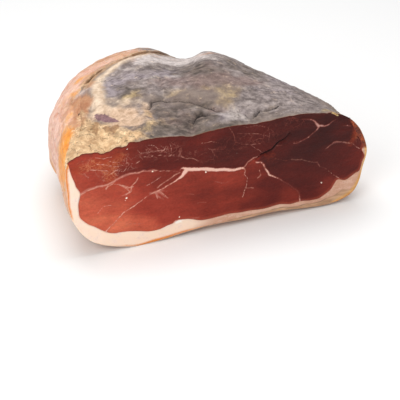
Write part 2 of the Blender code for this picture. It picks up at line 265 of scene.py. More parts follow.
def noise(points, size, seed):
    """Smooth random heights from -1 to 1 with bumps about size across.

    Each corner of the lattice cell round a point gets a scrambled number made from its whole
    coordinates, and the eight are blended by the point's eased place in the cell.
    """
    p = points / size + SEED_SHIFT * seed
    cell = np.floor(p).astype(np.int64)
    f = p - cell
    f = f**3 * (f * (6.0 * f - 15.0) + 10.0)
    total = np.zeros(p.shape[:-1])
    for corner in range(8):
        pick = np.array([corner & 1, corner >> 1 & 1, corner >> 2 & 1])
        n = (cell + pick) @ SCRAMBLE
        n = (n ^ (n >> 13)) * SCRAMBLE_AGAIN & KEPT_BITS
        n = (n ^ (n >> 15)) * SCRAMBLE_LAST & KEPT_BITS
        weight = np.prod(np.where(pick == 1, f, 1.0 - f), -1)
        total += weight * (n / (KEPT_BITS // 2) - 1.0)
    return total


def rough(points, size, octaves, seed):
    """Noise on noise: each octave is half the size and half the height of the one before."""
    return sum(0.5**k * noise(points, size * 0.5**k, seed + k) for k in range(octaves))


def along(px, py, path):
    """Distance from each point to a path of straight stretches, less the path's half width there.

    On each stretch the nearest point is where the line to it stands square, held between the
    ends. A path's points are (x, y) or (x, y, half width).
    """
    best = np.full(np.shape(px), np.inf)
    path = [tuple(p) + (0.0,) * (3 - len(p)) for p in path]
    for (ax, ay, aw), (bx, by, bw) in zip(path[:-1], path[1:]):
        run_x, run_y = bx - ax, by - ay
        t = np.clip(((px - ax) * run_x + (py - ay) * run_y) / (run_x**2 + run_y**2), 0.0, 1.0)
        reach = np.hypot(px - ax - t * run_x, py - ay - t * run_y)
        best = np.minimum(best, reach - aw - t * (bw - aw))
    return best


def nearest(px, py, paths):
    """Distance from each point to the nearest of several paths."""
    return np.min([along(px, py, path) for path in paths], axis=0)


def spot(px, py, x, y, reach_x, reach_y):
    """A round or oval hill that is 1 at its middle."""
    return np.exp(-((px - x) / reach_x) ** 2 - ((py - y) / reach_y) ** 2)


print("noise at four places:", noise(np.arange(12.0).reshape(4, 3), 5.0, 0).round(2))

# %% Swells, creases and cracks of the top
# Places are x and distance behind the cut. A swell has its reach across and back and its height.
SWELLS = [
    (-58, 16, 30, 16, 2.2), (14, 30, 34, 13, 1.6), (-84, 84, 9, 30, 2.2), (-86, 48, 13, 9, -2.0),
    (112, 12, 12, 12, -2.5), (-20, 84, 30, 14, 1.4), (48, 74, 30, 16, -1.2), (-112, 30, 12, 18, 1.5),
    (50, 132, 20, 24, 2.5), (4, 14, 16, 9, 2.0),
]
# A crease is a path, its reach and its depth
CREASES = [
    ([(-5, 25), (-10, 27), (-16, 25), (-19, 22), (-24, 14), (-28, 2, -2.5)], 3.4, 2.2),
    ([(-6, 27), (8, 29), (24, 24)], 4.0, 1.6),
    ([(-47, 49), (-34, 58), (-25, 56), (-9, 47), (-1, 35), (11, 28)], 6.0, 1.6),
    ([(-104, 0), (-101, 12), (-96, 26)], 6.0, 1.5),
]
# A crack is a path with a half width at each point. Below 0 it closes, and so it fades at its ends.
TOP_CRACKS = [
    [(-50, 46, -0.8), (-47, 49, -0.2), (-42, 56), (-34, 58, 0.2), (-25, 56, 0.1), (-15, 51, 0.1),
     (-9, 47, 0.3), (-4, 40, 0.2), (-1, 35), (8, 29), (12, 27, -0.4)],
    [(14, 22, -0.2), (21, 21, 0.3), (25, 17, 0.1), (27, 12, -0.2), (31, 11, 0.1), (36, 15, -0.2),
     (41, 21, 0.1), (51, 18, 0.1), (60, 22, 0.1), (72, 20, -0.4)],
    [(-3, 26.5, 0.1), (-8, 27.5, 1.0), (-12, 27, 1.1), (-16, 24.5, 0.6), (-19, 21, -0.3), (-23, 14, -1.0),
     (-27, 3, -2.2)],
]


def broad_relief(point, upper):
    """Height in mm that swells and creases add to the top."""
    px, py = point[..., 0], point[..., 1]
    height = sum(h * spot(px, py, x, y, rx, ry) for x, y, rx, ry, h in SWELLS)
    height -= sum(deep * np.exp(-(along(px, py, path) / wide) ** 2) for path, wide, deep in CREASES)
    return height * upper


def crack_distance(point):
    """Distance in mm to the nearest crack of the top, its line made to wander a little."""
    px, py = (point[..., k] + 1.2 * noise(point, 5.0, 3 + k) for k in (0, 1))
    return nearest(px, py, TOP_CRACKS)


print(len(SWELLS), "swells,", len(CREASES), "creases and", len(TOP_CRACKS), "cracks on top")

# %% [markdown]
# ## Laying the two pieces out
#
# The lean and the coat each close on themselves: walk over the visible skin, round an edge, and
# back through the inside. The walks all start along one line and end along another, and both
# lines meet at the two corners where the rim leaves the cut. So each piece is a loop of rows that
# is pinched shut at two points, which needs no cap and leaves no open seam.
#
# To cross the tip of the back without a knot in the mesh, places on the skin are also given on a
# flat disc: the cut's outline is its edge, the tip its middle, and a straight line on it is a
# smooth walk over the ham.

# %% The disc, the corners and the lines that both pieces share
COLUMNS = 336           # stretches from the left corner to the right one


def on_disc(place, run):
    """Disc position: the place is the bearing and the rest of the way to the tip the radius."""
    bearing = 2.0 * np.pi * place
    return (1.0 - run)[..., None] * np.stack([np.cos(bearing), np.sin(bearing)], -1)


def from_disc(position):
    """Place round the outline and depth angle of a disc position."""
    place = np.arctan2(position[..., 1], position[..., 0]) / (2.0 * np.pi)
    radius = np.linalg.norm(position, axis=-1)
    return np.mod(place, 1.0), angle_of(np.clip(1.0 - radius, 0.0, 1.0))


def at_columns(values):
    """Values along the rim, read off where each column meets it."""
    return np.interp(share * RIM_COUNT, np.arange(RIM_COUNT + 1), values)


share = np.linspace(0.0, 1.0, COLUMNS + 1)
place_left, place_right = rim_place[0], rim_place[-1]
rim_line = on_disc(at_columns(rim_place), at_columns(rim_run))
top_edge = on_disc(place_left + (place_right - place_left) * share, 0.0 * share)
foot_place = place_left - (place_left + 1.0 - place_right) * share
foot_edge = on_disc(foot_place, 0.0 * share)

# Where lean and fat meet on the cut, x and height, from the left corner round to the right one
INTERFACE = [
    (-132.5, 83), (-131, 77), (-129, 71), (-128, 67), (-125, 61), (-126, 55), (-127, 51),
    (-127, 44), (-126, 38), (-120, 31), (-114, 27), (-109, 23), (-103, 19), (-97, 17), (-93, 17),
    (-84, 16), (-75, 14), (-67, 12), (-58, 12), (-51, 14), (-46, 15), (-40, 17), (-31, 16),
    (-21, 12.5), (-12, 12), (-3, 12.5), (6, 13), (16, 12), (25, 12), (34, 11), (42, 11), (53, 12),
    (63, 10), (70, 10.5), (76, 10.5), (82, 9.5), (90, 9.5), (94, 11), (102, 16), (106, 22), (109, 25),
    (116, 23), (121, 25), (126, 28), (130, 30), (132, 38), (134, 44), (131, 50), (132, 54),
    (130, 59), (126, 65), (122, 73), (118, 80),
]
corner_left = skin_point(*from_disc(top_edge[:1]))[0][0, [0, 2]]
corner_right = skin_point(*from_disc(top_edge[-1:]))[0][0, [0, 2]]
interface = through([tuple(corner_left)] + INTERFACE + [tuple(corner_right)], COLUMNS + 1, False)
print("corners at", corner_left.round(1), "and", corner_right.round(1))


# %% A mesh from a pinched loop of rows
def between(first, last, steps, crowd=1.0):
    """Rows that lead straight from one line of points to another, the last one left out. A crowd
    above 1 sets them closer towards the end."""
    t = np.linspace(0.0, 1.0, steps, endpoint=False)[:, None, None]
    return first + (last - first) * (1.0 - (1.0 - t) ** crowd)


def pinched(name, points, stretches, fields):
    """A closed mesh from points[row, column] in mm whose rows join up in a ring.

    Every column's ends are drawn together into one vertex at each side, so the ring shuts there.
    stretches gives the material of each stretch of rows as (first row, material number).
    """
    rows, columns = points.shape[:2]
    inner = np.arange(rows * (columns - 2)).reshape(rows, columns - 2) + 2
    index = np.hstack([np.zeros((rows, 1), int), inner, np.ones((rows, 1), int)])
    after = np.roll(index, -1, 0)
    quads = np.stack([index[:, :-1], index[:, 1:], after[:, 1:], after[:, :-1]], -1)
    full = quads[:, 1:-1].reshape(-1, 4)
    left = quads[:, 0][:, [0, 1, 2]]
    right = quads[:, -1][:, [0, 1, 3]]
    corners = np.concatenate([full.ravel(), left.ravel(), right.ravel()])
    sizes = np.concatenate([np.full(len(full), 4), np.full(2 * rows, 3)])
    row_of = np.concatenate([np.repeat(np.arange(rows), columns - 3), np.tile(np.arange(rows), 2)])

    mesh = bpy.data.meshes.new(name)
    place = np.vstack([points[0, :1], points[0, -1:], points[:, 1:-1].reshape(-1, 3)]) * METRES
    mesh.vertices.add(len(place))
    mesh.vertices.foreach_set("co", (place + [0.0, -FRONT * METRES, 0.0]).ravel())
    mesh.loops.add(len(corners))
    mesh.loops.foreach_set("vertex_index", corners)
    mesh.polygons.add(len(sizes))
    mesh.polygons.foreach_set("loop_start", np.cumsum(sizes) - sizes)
    slots = np.zeros(len(sizes), int)
    for first, number in stretches:
        slots[row_of >= first] = number
    mesh.polygons.foreach_set("material_index", slots)
    mesh.polygons.foreach_set("use_smooth", np.ones(len(sizes), bool))
    for field, value in fields.items():
        flat = np.concatenate([value[0, :1], value[0, -1:], value[:, 1:-1].ravel()])
        mesh.attributes.new(field, "FLOAT", "POINT").data.foreach_set("value", flat)
    mesh.update(calc_edges=True)
    mesh.validate()
    piece = bpy.data.objects.new(name, mesh)
    bpy.context.scene.collection.objects.link(piece)
    print(name, len(mesh.vertices), "vertices,", 2 * len(full) + 2 * rows, "triangles")
    return piece


# %% [markdown]
# ## Seams, cracks and patches, drawn once
#
# On the real cut, pale seams of fat run between the muscles and forked threads of it run through
# them. They are drawn here as paths with a half width at each point. Each point of the mesh keeps
# its distance to the nearest one, and the shaders later turn distances into crisp, frayed lines.
# Larger areas, such as a darker muscle or a bloom of mould, are groups of soft round spots.

# %% Lines of the cut, as x, height and half width in mm
SEAMS = [
    [(-40, 63, 0.0), (-38, 66, 0.5), (-36, 66, 1.1), (-32, 64, 1.8), (-26, 63, 1.7), (-21, 62, 1.9),
     (-15, 61, 1.9), (-8, 59, 1.6), (1, 57, 1.5), (10, 55, 1.3), (18, 54.5, 1.0)],
    [(-34, 63, 1.8), (-37, 59, 1.3), (-41, 57, 0.8), (-46, 54, 0.5), (-53, 51, 0.4), (-61, 49, 0.4),
     (-67, 47, 0.3), (-72, 44, 0.4), (-76, 42, 0.4), (-83, 38, 0.4), (-89, 35, 0.4), (-95, 30, 0.3),
     (-99, 26, 0.3), (-103, 22, 0.5), (-107, 18, 1.0)],
    [(30, 58, 0.7), (34, 57, 0.5), (37, 54, 0.5), (39, 49, 0.6), (43, 43, 0.8), (48, 40, 0.5),
     (54, 36, 0.2), (58, 32, 0.1), (64, 27, 0.0), (69, 23, 0.0), (72, 18, 0.1), (73, 10, 0.8)],
    [(71, 90, -0.1), (76, 90, 0.1), (82, 88, 0.4), (84, 86, 0.6), (87, 82, 1.1), (93, 80.5, 0.5),
     (97, 81, 0.4), (101, 83, 0.2), (104, 85, -0.2)],
    [(88, 81, 0.8), (86, 78, 0.4), (83, 76, 0.2), (78, 73, 0.2), (72, 71, 0.1), (68, 69, 0.3),
     (65, 69, 0.3)],
    [(96, 58, -0.1), (99, 61, 0.0), (103, 63, 0.2), (107, 62, -0.1), (111, 61, -0.2)],
    [(84, 48, -0.1), (88, 47, 0.1), (90, 42, 0.0)],
    [(-46, 14, 0.6), (-43, 16, 1.3), (-40, 16.5, 0.9), (-37, 16, 0.3)],
    [(-88, 24.5, -0.1), (-83, 24, 0.1)], [(-76, 21.5, -0.1), (-72, 21, 0.1)],
    [(-62, 16.5, -0.1), (-57, 16, 0.1)], [(111, 77, -0.2), (115, 77, 0.2), (119, 75.5, -0.1)],
]
# Duller seams that the meat shines through
SOFT_SEAMS = [
    [(-129, 58, 1.2), (-125, 59, 1.2), (-120, 62, 1.1), (-111, 64, 1.0), (-101, 64, 1.0), (-94, 67, 1.2),
     (-87, 69, 1.1), (-78, 70, 0.9), (-70, 70, 0.7), (-63, 68, 0.5), (-57, 67, 0.1), (-48, 65, 0.0),
     (-41, 63, 0.4)],
    [(-67, 49, 0.2), (-63, 48, 1.0), (-57, 48, 1.4), (-55, 45, 0.8), (-53, 42, 0.5), (-50, 40, 0.2)],
    [(-61, 48, 0.9), (-59, 44, 0.7), (-54, 39, 0.1)], [(-58, 48, 1.0), (-54, 49, 0.4), (-51, 47, 0.2)],
    [(-33, 41, 0.1), (-26, 39, 0.1)], [(-23, 29, 0.1), (-15, 29, 0.2)], [(-34, 17, 0.2), (-22, 15, 0.4)],
    [(-87, 23, 0.1), (-82, 23, 0.3), (-75, 21, 0.1)], [(-8, 47, 0.0), (-2, 45, 0.2), (5, 44, 0.0)],
    [(-90, 51, 0.3), (-86, 51, 0.8), (-83, 53, 0.3)],
    [(94, 57, 0.1), (98, 60, 0.4), (103, 62, 0.5), (110, 61, 0.3), (118, 58, 0.1)],
]
# Forked threads of fat, x and height
THREADS = [
    [(-128, 58), (-120, 61), (-111, 64), (-101, 64), (-94, 67), (-87, 69), (-78, 70), (-70, 70)],
    [(-103, 61), (-97, 64), (-90, 60), (-83, 57), (-80, 57)], [(-101, 63), (-103, 59)],
    [(-75, 65), (-77, 62), (-81, 58), (-82, 53), (-86, 51)], [(-90, 60), (-86, 57), (-83, 53)],
    [(-59, 52), (-52, 56), (-45, 60), (-39, 62)], [(-63, 48), (-58, 49), (-54, 45), (-50, 40)],
    [(-61, 48), (-59, 42)], [(19, 54), (20, 51), (19, 48)], [(18, 54), (22, 59), (28, 63), (34, 63)],
    [(33, 49), (34, 45), (31, 42)], [(20, 36), (28, 33)],
    [(-39, 83), (-39, 81), (-38, 77), (-33, 74), (-29, 73), (-23, 70)],
    [(63, 54), (73, 52), (83, 48), (88, 47), (90, 42)],
    [(96, 58), (99, 61), (103, 63), (111, 61), (119, 58)], [(-48, 65), (-57, 67), (-63, 69)],
]
# Hair-thin lines of marbling, most of them in the upper muscle
HAIRS = [
    [(-69, 87), (-61, 86), (-53, 85), (-48, 81), (-44, 78)], [(-53, 85), (-52, 87), (-56, 90)],
    [(-48, 90), (-47, 86), (-46, 82), (-43, 79)], [(-58, 82), (-52, 80), (-46, 78)],
    [(-76, 91), (-73, 87), (-69, 87)], [(-66, 93), (-61, 91), (-58, 87)],
    [(-71, 83), (-66, 82), (-62, 83)], [(-102, 86), (-95, 83), (-89, 83)],
    [(-110, 84), (-103, 82), (-95, 79), (-88, 79)], [(-111, 90), (-104, 88), (-97, 89)],
    [(-95, 76), (-88, 73), (-85, 76)], [(-116, 80), (-108, 78), (-100, 76)],
    [(-106, 75), (-98, 74), (-92, 76)], [(-84, 80), (-78, 78), (-74, 80)],
    [(-20, 86), (-11, 86), (-2, 82)], [(-14, 80), (-11, 78), (-8, 72)], [(-11, 79), (5, 74)],
    [(4, 98), (8, 88), (11, 80)], [(11, 88), (22, 87), (31, 85), (42, 80)],
    [(7, 83), (16, 78), (29, 75), (36, 75)], [(40, 89), (42, 83), (41, 76)],
    [(12, 95), (21, 93), (29, 93), (38, 89)], [(25, 75), (33, 68), (37, 64)],
    [(90, 42), (97, 38), (105, 30), (111, 25)], [(45, 58), (58, 54), (65, 54)],
    [(111, 61), (119, 59), (125, 55), (129, 51)], [(19, 48), (22, 44), (21, 36), (18, 27)],
    [(48, 69), (61, 70), (72, 71)], [(-99, 44), (-106, 44), (-112, 39)],
    [(-70, 56), (-62, 58), (-56, 61)],
]
# The dark crack, and white crystals of salt as x, height and radius
CUT_CRACK = [(30, 61, 0.0), (34, 63, 0.2), (40, 65, 0.4), (45, 67, 0.5), (48, 70, 0.5),
             (52, 73, 0.4), (57, 75, 0.2), (61, 79, 0.0)]
CRYSTALS = [(-86, 48, 0.9), (-87, 46, 0.5), (-63, 68, 0.9), (-16, 58, 0.9), (-84, 93, 0.7),
            (93, 25, 0.8), (-40, 20, 0.9), (-37, 21, 0.5), (12, 70, 0.3), (66, 40, 0.3),
            (-110, 75, 0.3), (-24, 36, 0.2), (-60, 33, 0.3), (104, 40, 0.2)]

# %% Muscles of the cut
# Each is a polygon of x and height, and tones at a few of its places. A tone runs from 0, pale
# salmon, to 1, nearly black red.
UPPER_SEAM = [(-128, 60), (-117, 63), (-108, 64), (-100, 65), (-93, 67), (-82, 69), (-71, 70),
              (-65, 70), (-57, 67), (-48, 65), (-36, 65)]
MIDDLE_SEAM = [(-36, 65), (-32, 64), (-21, 62), (-8, 59), (1, 57), (10, 55), (18, 54.5)]
SLANT_SEAM = [(-36, 64), (-37, 59), (-41, 56), (-46, 53), (-53, 51), (-61, 49), (-67, 46), (-72, 43),
              (-76, 40), (-83, 37), (-89, 35), (-95, 30), (-99, 26), (-103, 22), (-107, 18)]
FAINT_SEAM = [(18, 54.5), (20, 50), (21, 46), (20, 41), (19, 35), (18, 32), (16, 26), (14, 0)]
RIGHT_SEAM = [(30, 58), (34, 57), (37, 54), (39, 49), (43, 43), (48, 40), (54, 36), (58, 32),
              (64, 27), (69, 23), (72, 18), (73, 0)]
MUSCLES = {
    "upper": (
        [(-150, 60)] + UPPER_SEAM + MIDDLE_SEAM + [(24, 61), (34, 63), (45, 67), (52, 73), (61, 79),
                                                   (72, 110), (-150, 110)],
        [(-122, 72, 0.30), (-106, 80, 0.36), (-104, 70, 0.38), (-88, 82, 0.60), (-84, 74, 0.68),
         (-62, 84, 0.74), (-60, 75, 0.76), (-30, 74, 0.80), (-20, 88, 0.76), (2, 78, 0.92),
         (2, 64, 0.84), (36, 84, 0.84), (34, 70, 0.86), (60, 90, 0.92), (52, 80, 0.92)]),
    "left": (
        [(-150, 60)] + UPPER_SEAM + SLANT_SEAM + [(-110, 0), (-150, 0)],
        [(-118, 46, 0.10), (-112, 33, 0.06), (-104, 28, 0.10), (-98, 44, 0.24), (-84, 52, 0.30),
         (-108, 57, 0.26), (-70, 58, 0.46), (-56, 58, 0.60), (-44, 61, 0.62)]),
    "lower": (
        SLANT_SEAM[::-1] + MIDDLE_SEAM + FAINT_SEAM + [(-110, 0)],
        [(-94, 19, 0.02), (-70, 18, 0.14), (-60, 32, 0.40), (-50, 22, 0.38), (-36, 24, 0.46),
         (-42, 46, 0.46), (-20, 50, 0.54), (-20, 34, 0.60), (-6, 22, 0.56), (4, 46, 0.48),
         (8, 34, 0.62), (8, 18, 0.58)]),
    "small": (
        FAINT_SEAM[::-1] + [(24, 61), (30, 58)] + RIGHT_SEAM,
        [(25, 56, 0.60), (27, 44, 0.67), (24, 28, 0.62), (36, 24, 0.70), (46, 20, 0.74), (60, 18, 0.62),
         (40, 36, 0.76)]),
    "right": (
        RIGHT_SEAM[::-1] + [(34, 63), (45, 67), (52, 73), (61, 79), (72, 110), (150, 110), (150, 0)],
        [(48, 58, 0.90), (62, 44, 0.86), (66, 88, 0.94), (66, 76, 0.96), (76, 60, 0.98), (96, 86, 0.98),
         (92, 70, 1.0), (112, 72, 0.94), (100, 54, 0.90), (118, 52, 0.84), (128, 46, 0.72),
         (112, 34, 0.80), (90, 36, 0.84), (82, 22, 0.80), (98, 20, 0.62), (72, 30, 0.84)]),
}


def inside(px, py, polygon):
    """True inside a polygon: a line to the side from there crosses its border an odd number of
    times."""
    within = np.zeros(px.shape, bool)
    for (ax, ay), (bx, by) in zip(polygon, polygon[1:] + polygon[:1]):
        if ay != by:
            crosses = (py < ay) != (py < by)
            within ^= crosses & (px < ax + (py - ay) * (bx - ax) / (by - ay))
    return within


UP_COUNTS = 1.6         # how much more a step up counts than a step across
TONE_BLEND = 40.0       # square mm, more lets the tones of a muscle's places mix more widely


def muscle_tone(px, pz):
    """The tone of the muscle at each point: its places' tones, weighted by nearness."""
    tone = np.full(px.shape, 0.5)
    for border, places in MUSCLES.values():
        x, z, value = np.array(places).T
        apart = (px[..., None] - x) ** 2 + (UP_COUNTS * (pz[..., None] - z)) ** 2
        weight = 1.0 / (apart + TONE_BLEND) ** 2
        blended = np.sum(weight * value, -1) / np.sum(weight, -1)
        tone = np.where(inside(px, pz, border), blended, tone)
    return tone


print(len(MUSCLES), "muscles with", sum(len(places) for _, places in MUSCLES.values()), "tones")

# %% Areas of the cut: x, height, reach across, reach up, strength
CUT_AREAS = {
    # net of fine marbling
    "marbled": [
        (-116, 80, 14, 10, 1.0), (-97, 80, 17, 10, 1.0), (-70, 82, 20, 7, 0.5), (-44, 82, 14, 7, 0.6),
        (0, 78, 30, 9, 0.45), (34, 80, 24, 9, 0.5), (62, 88, 18, 4, 0.6), (126, 66, 5, 10, 0.8),
        (10, 68, 30, 6, 0.3),
    ],
    # golden crumbs on the upper edge
    "golden": [
        (96, 91.5, 4, 1.4, 1.0), (101, 90, 4, 1.8, 1.1), (105, 88.5, 2, 1.2, 0.6),
    ],
    # orange red at the ends
    "orange": [
        (-112, 82, 20, 9, 0.9), (-104, 75, 14, 6, 0.5), (120, 70, 5, 10, 0.7), (36, 66, 8, 5, 0.4),
        (-90, 84, 10, 5, 0.3),
    ],
}

# %% Areas of the top: x, distance behind the cut, reach across, reach back, strength
TOP_AREAS = {
    # grey bloom of mould
    "mould": [
        (-52, 32, 22, 18, 0.9), (-30, 24, 22, 20, 1.0), (-62, 8, 18, 8, 0.6), (0, 12, 24, 12, 1.0),
        (34, 22, 30, 16, 1.0), (70, 30, 26, 30, 1.0), (60, 70, 26, 30, 1.0), (84, 60, 20, 30, 0.9),
        (-30, 84, 34, 14, 0.8), (-40, 110, 26, 14, 0.9), (0, 110, 26, 22, 0.8), (-64, 84, 10, 22, 0.8),
        (30, 120, 26, 26, 0.9), (60, 110, 22, 26, 0.9), (-20, 68, 28, 9, 0.6), (96, 10, 16, 12, 0.8),
    ],
    # darker, greenish grey mould, partly painted shade in the hollows
    "dim": [
        (-38, 36, 20, 14, 0.8), (-48, 18, 18, 10, 0.9), (-24, 12, 14, 10, 0.7), (-6, 40, 12, 8, 0.6),
        (-62, 76, 9, 10, 0.7), (6, 112, 22, 14, 0.5), (20, 92, 20, 10, 0.6), (-8, 22, 10, 8, 0.6),
        (40, 12, 18, 5, 0.4), (52, 84, 14, 10, 0.4), (-50, 70, 16, 6, 0.3), (-46, 4, 16, 4, 0.6),
        (12, 140, 14, 12, 0.6), (70, 100, 16, 16, 0.4), (-58, 3, 16, 5, 0.9), (8, 5, 24, 5, 0.8),
        (-20, 19, 6, 8, 1.0), (-44, 12, 20, 8, 0.4), (-38, 18, 12, 9, 0.6), (-36, 10, 14, 9, 0.7),
        (-2, 26, 6, 5, 0.4),
    ],
    # cooler, lilac grey
    "lilac": [
        (-63, 88, 11, 18, 1.0), (-92, 97, 9, 7, 0.9), (-40, 100, 24, 10, 0.7), (-14, 96, 16, 14, 0.8),
        (-6, 108, 14, 16, 0.6), (12, 14, 14, 8, 0.7), (70, 46, 26, 26, 0.5), (30, 128, 20, 14, 0.4),
        (84, 76, 14, 22, 0.4), (0, 7, 22, 5, 0.5),
    ],
    # painted highlights in a pale whitish grey
    "white": [
        (13, 15, 14, 7, 0.9), (-91, 99, 8, 5, 0.6), (-6, 88, 10, 14, 0.5), (-44, 116, 22, 4, 0.6),
        (40, 30, 12, 4, 0.4), (-30, 92, 18, 3, 0.5), (14, 128, 16, 5, 0.5), (-18, 40, 12, 3, 0.3),
        (-6, 118, 18, 10, 0.4), (-12, 34, 8, 5, 0.6),
    ],
    # crumbly beige salt and dried fat
    "crumb": [
        (-104, 38, 9, 16, 1.0), (-107, 16, 14, 16, 1.0), (-90, 10, 18, 12, 1.0), (-92, 28, 10, 9, 0.9),
        (-74, 9, 12, 9, 0.65), (-100, 60, 6, 8, 0.4), (-118, 4, 14, 6, 1.0), (-58, 22, 9, 8, 0.4),
        (-56, 36, 6, 9, 0.55), (-128, 6, 9, 10, 1.2), (-123, 20, 7, 10, 1.0), (105, 4, 9, 4, 0.7),
    ],
    # smooth cream: the ridge and the pale hollow in front of it
    "cream": [
        (-84, 66, 6, 9, 0.8), (-76, 54, 10, 8, 0.75), (-69, 42, 10, 12, 1.1), (-73, 30, 8, 8, 0.9),
        (-64, 62, 12, 5, 0.4), (-87, 60, 6, 7, 0.8), (-96, 58, 7, 9, 0.4), (-60, 46, 9, 8, 0.6),
        (-83, 54, 7, 6, -0.4),
    ],
    # tan and orange rind that shows near the rim
    "tan": [
        (-100, 84, 9, 15, 1.0), (-101, 64, 8, 13, 1.0), (-98, 58, 7, 8, 0.5), (-112, 50, 7, 14, 0.8),
        (-84, 106, 5, 12, 1.0), (-74, 119, 10, 5, 0.9), (-58, 130, 26, 4, 0.8), (44, 134, 12, 7, 0.35),
        (102, 2, 9, 4, 0.8), (-20, 144, 20, 4, 0.4),
    ],
    # thin yellow fat that shines through
    "yellow": [
        (-58, 62, 8, 6, 1.0), (-50, 66, 6, 5, 0.6), (24, 56, 19, 12, 0.62), (18, 36, 16, 8, 0.6),
        (104, 3, 7, 5, 0.9), (-20, 62, 16, 5, 0.5), (50, 16, 12, 4, 0.4), (-36, 4, 8, 4, 0.3),
        (-36, 28, 20, 16, 0.2), (-55, 22, 10, 8, 0.5), (-62, 14, 8, 6, 0.5), (30, 50, 12, 8, 0.4),
        (-76, 112, 7, 5, 0.7),
    ],
    # bare lean, brown and purple
    "brown": [
        (-12, 80, 24, 12, 0.7), (-34, 30, 22, 16, 0.45), (16, 72, 24, 12, 0.7), (44, 64, 20, 10, 0.9),
        (8, 30, 12, 6, 0.5), (-70, 108, 8, 5, 0.3), (-28, 4, 8, 6, 0.6), (30, 96, 18, 10, 0.5),
        (-100, 78, 5, 9, 0.4), (-52, 138, 14, 3, 0.8), (50, 66, 18, 12, 1.0),
    ],
    # a painted highlight: a pale band along the rim at the back
    "frost": [
        (-38, 127, 12, 8, 0.6), (-18, 134, 14, 10, 1.0), (0, 141, 14, 10, 1.1), (16, 147, 12, 11, 1.1),
        (26, 136, 12, 12, 1.0), (34, 124, 12, 7, 0.8), (-93, 98, 9, 6, 0.9),
    ],
}
# A bare purple spot in the beige: x, distance behind the cut, half width
BARE_SPOT = [(-92, 54, 2.4), (-87, 48, 4.2), (-82, 42, 3.2), (-79, 37, 1.2)]
# Brown patches in front of the bare spot, as lines with a half width
UMBER = [
    [(-95, 46, 1.8), (-98, 39, 2.8), (-101, 32, 2.2)], [(-91, 32, 3.2), (-88, 26, 3.4), (-84, 30, 3.6)],
]
# A smooth pale ridge that runs back from the spot and on beside the rim
RIDGE = [(-84, 58, 1.5), (-84, 66, 3.0), (-82, 76, 3.5), (-80, 88, 4.0), (-76, 100, 3.8), (-69, 112, 3.0),
         (-58, 120, 2.2), (-44, 127, 1.6), (-28, 135, 0.8), (-10, 146, -0.8)]


FRAY, FRAY_SIZE = 0.22, 9.0     # how far noise lifts or lowers an amount, and its size in mm
TRACE, MOST = 0.03, 1.3         # amounts below a trace stay, and none is above the most


def frayed(total, point, seed):
    """An amount lifted or lowered by fine noise, so that its border frays."""
    return np.clip(total + FRAY * rough(point, FRAY_SIZE, 3, seed) * (total > TRACE), 0.0, MOST)


def amount(px, py, areas, point, seed):
    """How much of something lies at each point, from 0 up: its spots summed with frayed borders.

    The point is first moved by noise, up to a few mm, and the sum is then lifted or lowered by
    finer noise, so that no border stays round.
    """
    move = 7.0 * np.stack([rough(point, 22.0, 3, seed), rough(point, 22.0, 3, seed + 5)], -1)
    total = sum(s * spot(px + move[..., 0], py + move[..., 1], x, y, rx, ry)
                for x, y, rx, ry, s in areas)
    return frayed(total, point, seed + 9)


CRUMB_SEED, TOP_SEED, CUT_SEED, SEED_STEP = 60, 70, 140, 12


def top_areas(point):
    """The amount of each of the top's areas at every point, by the area's name."""
    return {area: amount(point[..., 0], point[..., 1], spots, point, TOP_SEED + SEED_STEP * number)
            for number, (area, spots) in enumerate(TOP_AREAS.items())}


print(len(SEAMS), "seams,", len(THREADS), "threads,", sum(map(len, TOP_AREAS.values())), "spots on top")

# %% [markdown]
# ## The lean
#
# The lean is the meat itself. Its cut face is nearly flat, with the seams a hair proud and one
# dark crack, because muscle shrinks more than fat as it dries. Its top is the rough, mould-grey
# skin. The hidden part sits in the coat as an egg sits in its cup, so it is only roughly shaped.

# %% The lean's top sheet
TOP_ROWS = 132
CRACK_WIDTH, CRACK_DEPTH = 1.3, 2.4
rim_x, rim_y = at_columns(rim_plan[:, 0]), at_columns(rim_plan[:, 1])
# How far the rim stands up as a lip: fully at the back left, and half as much by the hollow
lip = smoothstep(113, 119, rim_y) * (1.0 - smoothstep(-62, -54, rim_x))
lip += 0.5 * np.exp(-(((rim_x - 2.0) / 9.0) ** 2))
# How clearly a brown line marks the rim: fully at the back left, less and then nothing to the right
rim_mark = smoothstep(96, 110, rim_y) * (1.0 - 0.7 * smoothstep(-20, 20, rim_x)) * (rim_x < 60)
rim_gap = 0.12 + 0.15 * lip     # mm between the lean and the rim


def top_relief(point, upper):
    """Relief of the dried top: swells, creases, wandering cracks, lumps and grain.

    Lumps are noise on noise; the grain is drawn out along x, as the meat's fibres are. The part
    by the left end is crumbly and gets a finer, sharper noise. Returns the height and the distance
    to the nearest crack.
    """
    px, py = point[..., 0], point[..., 1]
    height = broad_relief(point, upper)
    height += 1.1 * rough(point, 30.0, 3, 11) + 0.35 * rough(point, 6.0, 2, 15)
    grain = rough(point * [0.35, 1.0, 1.0], 3.2, 2, 18)
    crumbly = np.clip(amount(px, py, TOP_AREAS["crumb"], point, CRUMB_SEED), 0, 1)
    height += (0.35 - 0.2 * crumbly) * grain * smoothstep(0.0, 3.0, py)
    height += crumbly * (2.7 * np.abs(rough(point, 8.0, 3, 24)) + 0.2 * rough(point, 2.8, 1, 27))
    ridge = np.maximum(along(px, py, RIDGE), 0.0)
    height += 1.2 * np.exp(-(ridge / 4.0) ** 2) * (1.0 + 0.4 * noise(point, 12.0, 29))
    crack = crack_distance(point)
    height -= CRACK_DEPTH * np.exp(-(crack / CRACK_WIDTH) ** 2) * (1.0 + 0.4 * noise(point, 8.0, 33))
    return height, crack


